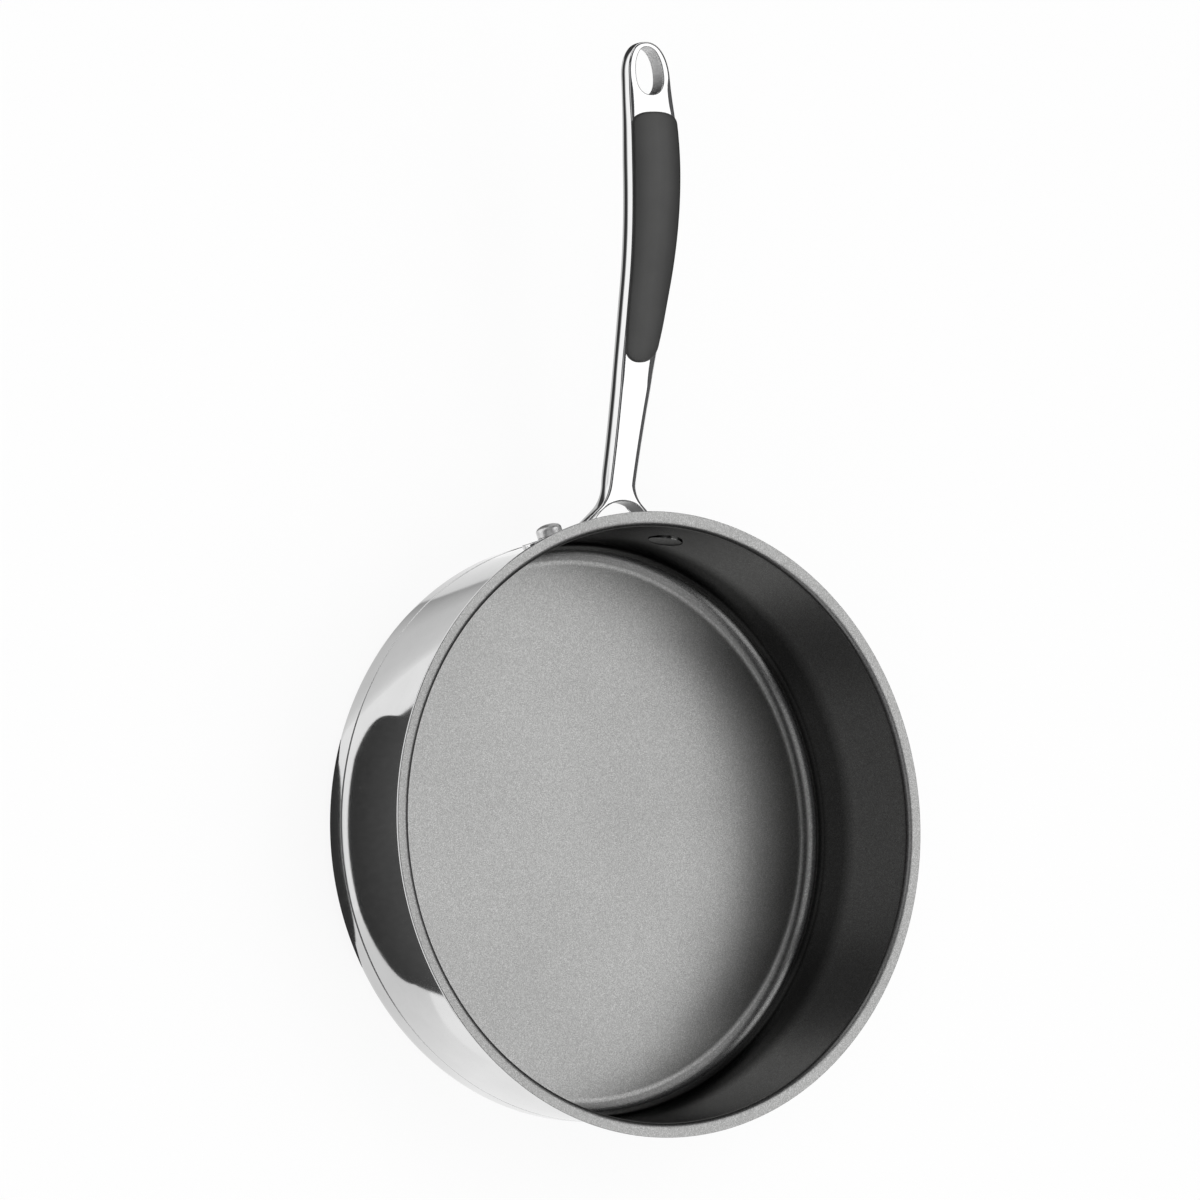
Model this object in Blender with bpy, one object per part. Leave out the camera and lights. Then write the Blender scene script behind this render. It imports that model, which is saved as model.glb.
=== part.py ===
# Saute pan with a riveted cast handle.
# The pan stands on its base. The origin is the middle of the base's underside,
# +Z is the pan's axis and +X runs out along the handle. All sizes are in metres.

import bpy
import bmesh
from math import asin, copysign, cos, pi, radians, sin, sqrt, tan
from mathutils import Matrix

# Pan: the cooking surface
MOUTH_RADIUS = 0.1200
PAN_HEIGHT = 0.0710
LIP_RADIUS = 0.1260
WALL_DRAFT = radians(3.0)
LIP_RISE = radians(5.0)
CORNER_BEND = 0.0081
FLARE_BEND = 0.0015

# Pan: what it is made of, from the inside out
COATING_THICKNESS = 0.0002
COATING_SETBACK = 0.0006
BODY_THICKNESS = 0.0009
CORE_THICKNESS = 0.0044
CAP_THICKNESS = 0.0004
CAP_STEP = 0.0002
SEAM_HEIGHT = 0.0167
SEAT_GAP = 0.0003

# Flange that holds the handle to the wall
FLANGE_LENGTH = 0.0840
FLANGE_HEIGHT = 0.0190
FLANGE_END_HEIGHT = 0.0130
FLANGE_THICKNESS = 0.0020
FLANGE_CHAMFER = 0.0005

# Rivets
RIVET_HEIGHT = 0.0440
RIVET_SPACING = 0.0553
SHANK_RADIUS = 0.0025
SHANK_CLEARANCE = 0.0003
OUTER_HEAD_RADIUS = 0.0053
OUTER_HEAD_HEIGHT = 0.0046
OUTER_HEAD_SIDE = 0.0026
INNER_HEAD_RADIUS = 0.0071
INNER_HEAD_HEIGHT = 0.0009

# Handle: its run, measured level from the flange's face
LEG_TOP_HEIGHT = 0.0517
HANDLE_PITCH = radians(20.2)
RISE_RUN = 0.0933
BEND_RADIUS = 0.1770
TIP_PITCH = radians(-3.5)
TIP_RUN = 0.0254

# Handle: its widths and depths
NECK_WIDTH = 0.0131
PALM_WIDTH = 0.0231
PALM_PLACE = 0.1396
TIP_WIDTH = 0.0196
TIP_ROUND = 0.0140
TIP_POWER = 2.3
ROLL_WIDTH = 0.0022
ROLL_DROP = 0.0004
EDGE_ROUND = 0.0007
NECK_BOW = 0.0123
PALM_BOW = 0.0118
TIP_BOW = 0.0084
UPPER_LEAN = radians(12.0)
LOWER_LEAN = radians(35.0)
LEG_BOW_SHARE = 0.55
LEG_RUN = 0.0220
NECK_BELLY = 0.0014
PALM_BELLY = 0.0010
TIP_BELLY = 0.0006

# Handle: the fork and its arch
FORK_PLACE = 0.0162
FORK_BEND = 0.0130
FORK_SPLAY = radians(48.0)
ARCH_RADIUS = 0.0142
ARCH_REACH = 0.0088
FORK_LIFT = 0.0013
LIFT_START = 0.0040
LIFT_END = 0.0145

# Hanging hole
HOLE_LENGTH = 0.0194
HOLE_WIDTH = 0.0128
HOLE_END_WALL = 0.0022
HOLE_TAPER = 0.14
HOLE_FULLNESS = 0.88

# Grip insert
GRIP_START = 0.0632
GRIP_END = 0.1625
GRIP_NOSE_REACH = 0.0066
GRIP_NOSE_POWER = 2.3
GRIP_CREST_REACH = 0.0048
GRIP_CREST_POWER = 2.5
GRIP_INSET = 0.0003
GRIP_EDGE = 0.0006
GRIP_CROWN = 0.0008
POCKET_DEPTH = 0.0022
POCKET_RIM = 0.0022

# Fineness of the curves
PAN_SEGMENTS = 72
BEND_STEPS = 5
CORNER_STEPS = 6
HEAD_SEGMENTS = 24
HOLE_POINTS = 28
ARCH_STEPS = 18
DOME_STEPS = 4
STATION_STEP = 0.0070
FORK_STEP = 0.0022
FLANGE_COLUMNS = 28
SMOOTH_ANGLE = radians(35.0)

# Finishes: colour, roughness and how metallic
POLISHED_STEEL = ((0.62, 0.62, 0.61, 1.0), 0.12, 1.0)
CAST_STEEL = ((0.80, 0.80, 0.79, 1.0), 0.10, 1.0)
ALUMINIUM = ((0.75, 0.76, 0.77, 1.0), 0.45, 1.0)
NONSTICK = ((0.20, 0.20, 0.20, 1.0), 0.35, 0.6)
SILICONE = ((0.035, 0.035, 0.036, 1.0), 0.60, 0.0)

# Depths below the cooking surface, square to it
BODY_TOP = COATING_THICKNESS + SEAT_GAP
BODY_OUTSIDE = BODY_TOP + BODY_THICKNESS
CAP_OUTSIDE = BODY_OUTSIDE + CAP_STEP
CAP_INSIDE = CAP_OUTSIDE - CAP_THICKNESS
BODY_UNDER_CAP = CAP_INSIDE - SEAT_GAP
FLANGE_INSIDE = BODY_OUTSIDE + SEAT_GAP
FLANGE_OUTSIDE = FLANGE_INSIDE + FLANGE_THICKNESS

# Heights in the base
CORE_BOTTOM = CAP_THICKNESS + SEAT_GAP
CORE_TOP = CORE_BOTTOM + CORE_THICKNESS
FLOOR_UNDERSIDE = CORE_TOP + SEAT_GAP
FLOOR_HEIGHT = FLOOR_UNDERSIDE + BODY_UNDER_CAP


def clear_scene():
    for thing in list(bpy.data.objects):
        bpy.data.objects.remove(thing, do_unlink=True)


def make_material(name, finish):
    colour, roughness, metallic = finish
    material = bpy.data.materials.new(name)
    material.use_nodes = True
    shader = material.node_tree.nodes["Principled BSDF"]
    shader.inputs["Base Color"].default_value = colour
    shader.inputs["Roughness"].default_value = roughness
    shader.inputs["Metallic"].default_value = metallic
    return material


def make_object(name, shape, finish=None):
    """Turn a bmesh into a named object with its faces pointing out."""
    bmesh.ops.recalc_face_normals(shape, faces=shape.faces)
    mesh = bpy.data.meshes.new(name)
    shape.to_mesh(mesh)
    shape.free()
    mesh.shade_smooth()
    mesh.set_sharp_from_angle(angle=SMOOTH_ANGLE)
    thing = bpy.data.objects.new(name, mesh)
    bpy.context.collection.objects.link(thing)
    if finish:
        mesh.materials.append(make_material(name + "_finish", finish))
    return thing


def make_helper(name, shape):
    """A cutter, or a body that is joined to another one."""
    helper = make_object(name, shape)
    helper.hide_render = True
    helper.display_type = "WIRE"
    return helper


def combine(thing, helper, operation):
    modifier = thing.modifiers.new(helper.name, "BOOLEAN")
    modifier.operation = operation
    modifier.solver = "EXACT"
    modifier.object = helper


def turn(profile, segments):
    """Turn a profile of (radius, height) that starts and ends on the axis, or is closed."""
    shape = bmesh.new()
    rings = []
    for radius, height in profile:
        if radius == 0.0:
            rings.append([shape.verts.new((0.0, 0.0, height))])
            continue
        ring = []
        for step in range(segments):
            angle = 2.0 * pi * step / segments
            ring.append(shape.verts.new((radius * cos(angle), radius * sin(angle), height)))
        rings.append(ring)
    for lower, upper in zip(rings, rings[1:]):
        for step in range(segments):
            after = (step + 1) % segments
            corners = [lower[step % len(lower)], lower[after % len(lower)],
                       upper[after % len(upper)], upper[step % len(upper)]]
            shape.faces.new(list(dict.fromkeys(corners)))
    return shape


def loft(rings):
    """Skin closed rings of equal length and cap both ends."""
    shape = bmesh.new()
    skins = [[shape.verts.new(point) for point in ring] for ring in rings]
    count = len(skins[0])
    for first, second in zip(skins, skins[1:]):
        for step in range(count):
            after = (step + 1) % count
            shape.faces.new((first[step], first[after], second[after], second[step]))
    shape.faces.new(skins[0])
    shape.faces.new(skins[-1])
    return shape


def prism(outline, bottom, top):
    """A straight prism over a flat outline of (x, y)."""
    return loft([[(x, y, bottom) for x, y in outline], [(x, y, top) for x, y in outline]])


def arc(centre, radius, start, end, steps):
    points = []
    for step in range(steps + 1):
        angle = start + (end - start) * step / steps
        points.append((centre[0] + radius * cos(angle), centre[1] + radius * sin(angle)))
    return points


# Bends of the pan. The flare turns about a centre outside the wall, the corner about one inside.
FLARE_RADIUS = FLARE_BEND + BODY_OUTSIDE
FLARE_CENTRE_X = MOUTH_RADIUS + FLARE_RADIUS * cos(WALL_DRAFT)
LIP_START_X = FLARE_CENTRE_X - FLARE_RADIUS * sin(LIP_RISE)
LIP_START_Z = PAN_HEIGHT - (LIP_RADIUS - LIP_START_X) * tan(LIP_RISE)
FLARE_CENTRE = (FLARE_CENTRE_X, LIP_START_Z - FLARE_RADIUS * cos(LIP_RISE))
WALL_TOP = (MOUTH_RADIUS, FLARE_CENTRE[1] + FLARE_RADIUS * sin(WALL_DRAFT))


def wall_radius(height, depth):
    """Radius of the wall's straight part, at a depth behind the cooking surface."""
    return WALL_TOP[0] + ((height - WALL_TOP[1]) * sin(WALL_DRAFT) + depth) / cos(WALL_DRAFT)


def corner_centre(bottom, radius, depth):
    """Centre of the bend from a floor to the wall line at the given depth."""
    height = bottom + radius
    return (wall_radius(height, depth - radius), height)


COOKING_CORNER = corner_centre(FLOOR_HEIGHT, CORNER_BEND, 0.0)
CAP_CORNER_RADIUS = CORNER_BEND + CAP_OUTSIDE
CAP_CORNER = corner_centre(0.0, CAP_CORNER_RADIUS, CAP_OUTSIDE)


def corner_arc(centre, radius):
    return arc(centre, radius, -pi / 2, -WALL_DRAFT, CORNER_STEPS)


def flare_arc(depth):
    return arc(FLARE_CENTRE, FLARE_RADIUS - depth, pi - WALL_DRAFT, pi / 2 + LIP_RISE, BEND_STEPS)


def lip_point(radius, depth):
    height = PAN_HEIGHT - (LIP_RADIUS - radius) * tan(LIP_RISE) - depth / cos(LIP_RISE)
    return (radius, height)


def build_body_shell():
    inside = [(0.0, FLOOR_HEIGHT - BODY_TOP)]
    inside += corner_arc(COOKING_CORNER, CORNER_BEND + BODY_TOP)
    inside += flare_arc(BODY_TOP)
    edge_round = BODY_THICKNESS / 2
    edge_middle = lip_point(LIP_RADIUS - edge_round, BODY_TOP + edge_round)
    edge = arc(edge_middle, edge_round, pi / 2 + LIP_RISE, LIP_RISE - pi / 2, BEND_STEPS)
    outside = list(reversed(flare_arc(BODY_OUTSIDE)))
    step_height = SEAM_HEIGHT + SEAT_GAP
    outside.append((wall_radius(step_height, BODY_OUTSIDE), step_height))
    outside.append((wall_radius(step_height, BODY_UNDER_CAP), step_height))
    outside += reversed(corner_arc(COOKING_CORNER, CORNER_BEND + BODY_UNDER_CAP))
    outside.append((0.0, FLOOR_UNDERSIDE))
    return make_object("body_shell", turn(inside + edge + outside, PAN_SEGMENTS), POLISHED_STEEL)


def build_coating():
    end = LIP_RADIUS - COATING_SETBACK
    top = [(0.0, FLOOR_HEIGHT)] + corner_arc(COOKING_CORNER, CORNER_BEND) + flare_arc(0.0)
    top.append(lip_point(end, 0.0))
    under = [lip_point(end, COATING_THICKNESS)] + list(reversed(flare_arc(COATING_THICKNESS)))
    under += reversed(corner_arc(COOKING_CORNER, CORNER_BEND + COATING_THICKNESS))
    under.append((0.0, FLOOR_HEIGHT - COATING_THICKNESS))
    return make_object("nonstick_lining", turn(top + under, PAN_SEGMENTS), NONSTICK)


def build_base_core():
    radius = CAP_CORNER_RADIUS - CORE_BOTTOM
    end = asin((CORE_TOP - CAP_CORNER[1]) / radius)
    profile = [(0.0, CORE_BOTTOM)] + arc(CAP_CORNER, radius, -pi / 2, end, BEND_STEPS)
    profile.append((0.0, CORE_TOP))
    return make_object("base_core", turn(profile, PAN_SEGMENTS), ALUMINIUM)


def build_base_cap():
    outside = [(0.0, 0.0)] + corner_arc(CAP_CORNER, CAP_CORNER_RADIUS)
    outside.append((wall_radius(SEAM_HEIGHT, CAP_OUTSIDE), SEAM_HEIGHT))
    inside = [(wall_radius(SEAM_HEIGHT, CAP_INSIDE), SEAM_HEIGHT)]
    inside += reversed(corner_arc(CAP_CORNER, CAP_CORNER_RADIUS - CAP_THICKNESS))
    inside.append((0.0, CAP_THICKNESS))
    return make_object("base_cap", turn(outside + inside, PAN_SEGMENTS), POLISHED_STEEL)


# Rivets and the holes they go through

def rivet_frame(side):
    """Origin on the cooking surface at the rivet, with local Z square out through the wall."""
    azimuth = side * asin(RIVET_SPACING / 2 / wall_radius(RIVET_HEIGHT, BODY_OUTSIDE))
    around = Matrix.Rotation(azimuth, 4, "Z")
    place = Matrix.Translation((wall_radius(RIVET_HEIGHT, 0.0), 0.0, RIVET_HEIGHT))
    outward = Matrix.Rotation(pi / 2 + WALL_DRAFT, 4, "Y")
    return around @ place @ outward


def dome(radius, base, rise, steps):
    """The outline of a round top, from the middle out to its edge."""
    points = []
    for step in range(steps + 1):
        angle = pi / 2 * step / steps
        points.append((radius * sin(angle), base + rise * cos(angle)))
    return points


def build_rivet(side, name):
    bow = INNER_HEAD_RADIUS ** 2 / (2 * wall_radius(RIVET_HEIGHT, 0.0))
    seat = -(SEAT_GAP + bow)
    inner_side = INNER_HEAD_HEIGHT / 3
    inner_rise = INNER_HEAD_HEIGHT - inner_side
    outer_seat = FLANGE_OUTSIDE + SEAT_GAP
    outer_rise = OUTER_HEAD_HEIGHT - OUTER_HEAD_SIDE
    profile = dome(INNER_HEAD_RADIUS, seat - inner_side, -inner_rise, DOME_STEPS)
    profile += [(INNER_HEAD_RADIUS, seat), (SHANK_RADIUS, seat), (SHANK_RADIUS, outer_seat),
                (OUTER_HEAD_RADIUS, outer_seat)]
    profile += reversed(dome(OUTER_HEAD_RADIUS, outer_seat + OUTER_HEAD_SIDE, outer_rise, DOME_STEPS))
    rivet = make_object(name, turn(profile, HEAD_SEGMENTS), CAST_STEEL)
    rivet.matrix_world = rivet_frame(side)
    return rivet


def rivet_drill(side):
    reach = FLANGE_OUTSIDE * 4
    radius = SHANK_RADIUS + SHANK_CLEARANCE
    profile = [(0.0, -reach), (radius, -reach), (radius, reach), (0.0, reach)]
    drill = make_helper("rivet_drill_left" if side > 0 else "rivet_drill_right",
                        turn(profile, HEAD_SEGMENTS))
    drill.matrix_world = rivet_frame(side)
    return drill


# Handle. A place along it is the level distance out from the flange's face.

HANDLE_ROOT = wall_radius(RIVET_HEIGHT, FLANGE_OUTSIDE)
BEND_RUN = BEND_RADIUS * (sin(HANDLE_PITCH) - sin(TIP_PITCH))
HANDLE_LENGTH = RISE_RUN + BEND_RUN + TIP_RUN
NECK_HALF = NECK_WIDTH / 2
SPLAY_START = FORK_PLACE - FORK_BEND * sin(FORK_SPLAY)
SPLAY_HALF = NECK_HALF + FORK_BEND * (1 - cos(FORK_SPLAY))


def top_height(place):
    """Height of the handle's top face."""
    bend_start = LEG_TOP_HEIGHT + RISE_RUN * tan(HANDLE_PITCH)
    if place <= RISE_RUN:
        return LEG_TOP_HEIGHT + place * tan(HANDLE_PITCH)
    across = min(place - RISE_RUN, BEND_RUN) - BEND_RADIUS * sin(HANDLE_PITCH)
    height = bend_start + sqrt(BEND_RADIUS ** 2 - across ** 2) - BEND_RADIUS * cos(HANDLE_PITCH)
    return height + max(place - RISE_RUN - BEND_RUN, 0.0) * tan(TIP_PITCH)


def ease(place, start, end):
    share = min(max((place - start) / (end - start), 0.0), 1.0)
    return share * share * (3 - 2 * share)


def end_share(distance, reach, power):
    """Share of the full width at a distance from a rounded end, between an ellipse and a box."""
    if distance >= reach:
        return 1.0
    return (1 - (1 - max(distance, 0.0) / reach) ** power) ** (1 / power)


def half_width(place):
    """Half the handle's width: the splayed fork, the neck, the palm and the round tip."""
    if place < SPLAY_START:
        return SPLAY_HALF + (SPLAY_START - place) * tan(FORK_SPLAY)
    if place < FORK_PLACE:
        return NECK_HALF + FORK_BEND - sqrt(FORK_BEND ** 2 - (FORK_PLACE - place) ** 2)
    if place < PALM_PLACE:
        return NECK_HALF + (PALM_WIDTH / 2 - NECK_HALF) * ease(place, FORK_PLACE, PALM_PLACE)
    straight = PALM_WIDTH / 2 + (TIP_WIDTH - PALM_WIDTH) / 2 * ease(place, PALM_PLACE, HANDLE_LENGTH)
    return straight * end_share(HANDLE_LENGTH - place, TIP_ROUND, TIP_POWER)


def along(place, neck, palm, tip):
    """A depth that changes from the neck to the palm to the tip."""
    if place < PALM_PLACE:
        return neck + (palm - neck) * ease(place, FORK_PLACE, PALM_PLACE)
    return palm + (tip - palm) * ease(place, PALM_PLACE, HANDLE_LENGTH)


def side_bow(place):
    """Radius of the bowed side, smaller on the fork's legs."""
    share = LEG_BOW_SHARE + (1 - LEG_BOW_SHARE) * ease(place, 0.0, LEG_RUN)
    return share * along(place, NECK_BOW, PALM_BOW, TIP_BOW)


def handle_ring(place):
    """A cross-section: a flat top that rolls off to its edges, bowed sides and a shallow belly."""
    half = half_width(place)
    bow = side_bow(place)
    belly = along(place, NECK_BELLY, PALM_BELLY, TIP_BELLY)
    slim = min(half / NECK_HALF, 1.0)
    edge = min(EDGE_ROUND, half * 0.3)
    roll = min(ROLL_WIDTH, half * 0.4)
    side = []
    for share in (0.0, 0.24, 0.5, 0.75, 1.0):
        lean = share * (UPPER_LEAN + LOWER_LEAN) - UPPER_LEAN
        drop = ROLL_DROP + edge + bow * (sin(UPPER_LEAN) + sin(lean))
        side.append((half - slim * bow * (1 - cos(lean)), -drop))
    brim = side[0][0]
    bottom, low = side[-1]
    right = [(brim - edge - roll, 0.0), (brim - edge - roll * 0.4, -ROLL_DROP * 0.4),
             (brim - edge, -ROLL_DROP), (brim - edge * 0.3, -ROLL_DROP - edge * 0.3)] + side
    right += [(bottom * 0.86, low - belly * 0.35), (bottom * 0.5, low - belly * 0.85)]
    lowest = low - belly
    outline = right + [(0.0, lowest)] + [(-y, z) for y, z in reversed(right)]
    top = top_height(place)
    lift = FORK_LIFT * (1 - ease(place, LIFT_START, LIFT_END))
    return [(HANDLE_ROOT + place, y, top + z + lift * (1 - z / lowest)) for y, z in outline]


def seated_ring():
    """The first section, pressed onto the middle of the flange's thickness."""
    middle = (FLANGE_INSIDE + FLANGE_OUTSIDE) / 2
    ring = []
    for _, y, z in handle_ring(0.0):
        ring.append((sqrt(wall_radius(z, middle) ** 2 - y ** 2), y, z))
    return ring


def spread(start, end, step):
    count = max(round((end - start) / step), 1)
    return [start + (end - start) * index / count for index in range(count)]


def handle_places():
    places = spread(0.0, FORK_PLACE, FORK_STEP)
    places += spread(FORK_PLACE, HANDLE_LENGTH - TIP_ROUND, STATION_STEP)
    for angle in (0, 16, 31, 45, 57, 67, 75, 81, 85):
        places.append(HANDLE_LENGTH - TIP_ROUND * (1 - sin(radians(angle))))
    return places


def build_handle_bar():
    rings = [seated_ring()]
    for place in handle_places():
        rings.append(handle_ring(place))
    return loft(rings)


def arch_outline():
    """The gap between the legs: a half circle that runs straight back into the wall's place."""
    centre = (HANDLE_ROOT + ARCH_REACH - ARCH_RADIUS, 0.0)
    back = centre[0] - ARCH_RADIUS
    points = arc(centre, ARCH_RADIUS, pi / 2, -pi / 2, ARCH_STEPS)
    return points + [(back, -ARCH_RADIUS), (back, ARCH_RADIUS)]


def fuller(value):
    """Push a sine or cosine out a little, which turns an ellipse into a fuller oval."""
    return copysign(abs(value) ** HOLE_FULLNESS, value)


def hole_outline():
    """The hanging hole, a little narrower towards the tip."""
    middle = HANDLE_ROOT + HANDLE_LENGTH - HOLE_END_WALL - HOLE_LENGTH / 2
    points = []
    for step in range(HOLE_POINTS):
        angle = 2 * pi * step / HOLE_POINTS
        x = HOLE_LENGTH / 2 * fuller(cos(angle))
        y = HOLE_WIDTH / 2 * fuller(sin(angle)) * (1 - HOLE_TAPER * cos(angle))
        points.append((middle + x, y))
    return points


def flange_half_height(distance):
    """Half the flange's height at a distance round the wall from its middle."""
    full = FLANGE_HEIGHT / 2
    end = FLANGE_END_HEIGHT / 2
    round_start = FLANGE_LENGTH / 2 - end
    shoulder = half_width(0.0)
    straight = full + (end - full) * ease(distance, shoulder, round_start)
    if distance <= round_start:
        return straight
    return straight * sqrt(max(1 - ((distance - round_start) / end) ** 2, 0.0))


def build_flange():
    """A plate that follows the wall, with round ends and a chamfered outer edge."""
    radius = wall_radius(RIVET_HEIGHT, FLANGE_OUTSIDE)
    rings = []
    for column in range(FLANGE_COLUMNS + 1):
        distance = FLANGE_LENGTH / 2 * sin(pi / 2 * (2 * column / FLANGE_COLUMNS - 1) * 0.985)
        half = flange_half_height(abs(distance))
        chamfer = min(FLANGE_CHAMFER, half * 0.4)
        section = [(-half, FLANGE_INSIDE), (-half, FLANGE_OUTSIDE - chamfer),
                   (-half + chamfer, FLANGE_OUTSIDE), (half - chamfer, FLANGE_OUTSIDE),
                   (half, FLANGE_OUTSIDE - chamfer), (half, FLANGE_INSIDE)]
        angle = distance / radius
        ring = []
        for rise, depth in section:
            height = RIVET_HEIGHT + rise
            reach = wall_radius(height, depth)
            ring.append((reach * cos(angle), reach * sin(angle), height))
        rings.append(ring)
    return loft(rings)


# Grip insert and the pocket it sits in

def grip_half(place, inset):
    """Half the insert's width: a round nose, the handle's own sides and a blunt end."""
    nose = end_share(place - GRIP_START - inset, GRIP_NOSE_REACH, GRIP_NOSE_POWER)
    crest = end_share(GRIP_END - inset - place, GRIP_CREST_REACH, GRIP_CREST_POWER)
    return (half_width(place) - GRIP_INSET - inset) * nose * crest


def grip_places(inset):
    start = GRIP_START + inset
    end = GRIP_END - inset
    places = []
    for angle in (12, 26, 40, 56, 72):
        places.append(start + GRIP_NOSE_REACH * (1 - cos(radians(angle))))
    places += spread(start + GRIP_NOSE_REACH, end - GRIP_CREST_REACH, STATION_STEP)
    for angle in (90, 72, 56, 40, 26, 14, 6):
        places.append(end - GRIP_CREST_REACH * (1 - cos(radians(angle))))
    return places


def strip(inset, low, high):
    """A straight-sided body under the insert's outline, between two depths along the top face."""
    rings = []
    for place in grip_places(inset):
        half = grip_half(place, inset)
        x = HANDLE_ROOT + place
        top = top_height(place)
        rings.append([(x, half, top + low), (x, half, top + high),
                      (x, -half, top + high), (x, -half, top + low)])
    return loft(rings)


def build_grip_cap():
    """The part of the insert that the hand meets, standing on the handle's top face."""
    rings = []
    for place in grip_places(0.0):
        half = grip_half(place, 0.0)
        x = HANDLE_ROOT + place
        low = top_height(place) + SEAT_GAP
        crown = GRIP_CROWN * half / (PALM_WIDTH / 2)
        flat = half_width(place) - EDGE_ROUND - ROLL_WIDTH
        dip = ROLL_DROP * min(max((half - flat) / ROLL_WIDTH, 0.0), 1.0)
        right = [(min(flat, half * 0.9), 0.0), (half, -dip), (half, GRIP_EDGE),
                 (half * 0.86, GRIP_EDGE + crown * 0.5), (half * 0.5, GRIP_EDGE + crown * 0.88)]
        outline = right + [(0.0, GRIP_EDGE + crown)] + [(-y, z) for y, z in reversed(right)]
        rings.append([(x, y, low + z) for y, z in outline])
    return loft(rings)


def build_handle():
    handle = make_object("handle", build_handle_bar(), CAST_STEEL)
    bottom = LEG_TOP_HEIGHT - FLANGE_LENGTH
    top = top_height(HANDLE_LENGTH) + FLANGE_LENGTH
    combine(handle, make_helper("arch_cutter", prism(arch_outline(), bottom, top)), "DIFFERENCE")
    combine(handle, make_helper("flange_plate", build_flange()), "UNION")
    combine(handle, make_helper("hole_cutter", prism(hole_outline(), bottom, top)), "DIFFERENCE")
    pocket = strip(POCKET_RIM, -POCKET_DEPTH, POCKET_DEPTH)
    combine(handle, make_helper("pocket_cutter", pocket), "DIFFERENCE")
    return handle


def build_grip():
    grip = make_object("grip_insert", build_grip_cap(), SILICONE)
    root = strip(POCKET_RIM + SEAT_GAP, SEAT_GAP - POCKET_DEPTH, SEAT_GAP + GRIP_EDGE / 2)
    combine(grip, make_helper("grip_root", root), "UNION")
    return grip


def build_pan():
    clear_scene()
    shell = build_body_shell()
    lining = build_coating()
    build_base_core()
    build_base_cap()
    handle = build_handle()
    build_grip()
    for side, name in ((1, "rivet_left"), (-1, "rivet_right")):
        build_rivet(side, name)
        drill = rivet_drill(side)
        for drilled in (shell, lining, handle):
            combine(drilled, drill, "DIFFERENCE")


build_pan()
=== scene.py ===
"""Saute pan on a pale floor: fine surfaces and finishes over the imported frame."""

from math import asin, copysign, cos, pi, radians, sin, sqrt, tan

import bmesh
import bpy
import numpy as np
from mathutils import Matrix, Vector
from mathutils.geometry import delaunay_2d_cdt


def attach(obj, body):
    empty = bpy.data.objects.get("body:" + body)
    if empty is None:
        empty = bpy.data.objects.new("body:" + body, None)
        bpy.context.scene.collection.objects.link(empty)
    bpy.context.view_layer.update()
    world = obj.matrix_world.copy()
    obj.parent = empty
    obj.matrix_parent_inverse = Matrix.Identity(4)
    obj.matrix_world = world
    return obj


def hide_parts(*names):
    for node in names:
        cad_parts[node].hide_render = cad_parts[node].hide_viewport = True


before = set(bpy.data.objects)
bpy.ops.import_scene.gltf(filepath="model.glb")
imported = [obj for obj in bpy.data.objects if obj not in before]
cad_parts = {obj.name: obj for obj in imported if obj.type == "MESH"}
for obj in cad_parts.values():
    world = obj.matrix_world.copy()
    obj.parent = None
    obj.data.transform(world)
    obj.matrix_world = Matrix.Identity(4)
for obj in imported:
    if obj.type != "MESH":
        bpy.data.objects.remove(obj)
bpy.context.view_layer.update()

# Sizes of the pan, in metres, as in the frame
MOUTH_RADIUS = 0.1200
PAN_HEIGHT = 0.0710
LIP_RADIUS = 0.12597
WALL_DRAFT = radians(3.0)
LIP_RISE = radians(5.0)
CORNER_BEND = 0.0081
FLARE_BEND = 0.0015
COATING = 0.0002
WALL = 0.0014
CAP_STEP = 0.0002
CAP_SHEET = 0.0004
SEAM_HEIGHT = 0.0167
SEAM_GAP = 0.00055
BRIM_ROUND = 0.00018
BRIM_SLOPE = BRIM_ROUND * 0.3
FLOOR_HEIGHT = 0.0063
EDGE_CORNER = 0.00035
COATING_WRAP = radians(20.0)

# Hidden faces: the body's back inside the cap, and the lining's back and tuck inside the body
BODY_BACK = WALL * 0.5
LINING_BACK = COATING * 1.5
TUCK_IN = EDGE_CORNER * 0.6
TUCK_DOWN = COATING * 1.6

# Flange and rivets, with each head's radius, straight side and dome
FLANGE_INSIDE = 0.0017
FLANGE_OUTSIDE = 0.0037
FLANGE_LENGTH = 0.0840
FLANGE_HEIGHT = 0.0190
FLANGE_END_HEIGHT = 0.0130
RIVET_HEIGHT = 0.0440
RIVET_SPACING = 0.0553
SHANK_RADIUS = 0.0025
OUTER_HEAD = (0.0053, 0.0019, 0.0027)
INNER_HEAD = (0.0071, 0.0003, 0.0006)
DOME_POWER = 0.8

# Handle, as places along it from the flange's face
LEG_TOP_HEIGHT = 0.0517
HANDLE_PITCH = radians(20.2)
RISE_RUN = 0.0933
BEND_RADIUS = 0.1770
TIP_PITCH = radians(-3.5)
TIP_RUN = 0.0254
NECK_WIDTH = 0.0131
PALM_WIDTH = 0.0231
PALM_PLACE = 0.1396
TIP_WIDTH = 0.0196
TIP_ROUND = 0.0140
TIP_POWER = 2.3
FORK_PLACE = 0.0162
FORK_BEND = 0.0130
FORK_SPLAY = radians(48.0)
ARCH_RADIUS = 0.0142
ARCH_REACH = 0.0088
FORK_LIFT = 0.0013
LIFT_RUN = (0.0040, 0.0145)
HOLE_LENGTH = 0.0194
HOLE_WIDTH = 0.0128
HOLE_END_WALL = 0.0022
HOLE_TAPER = 0.14
HOLE_FULLNESS = 0.88
TOP_INSET = 0.00022

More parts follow.
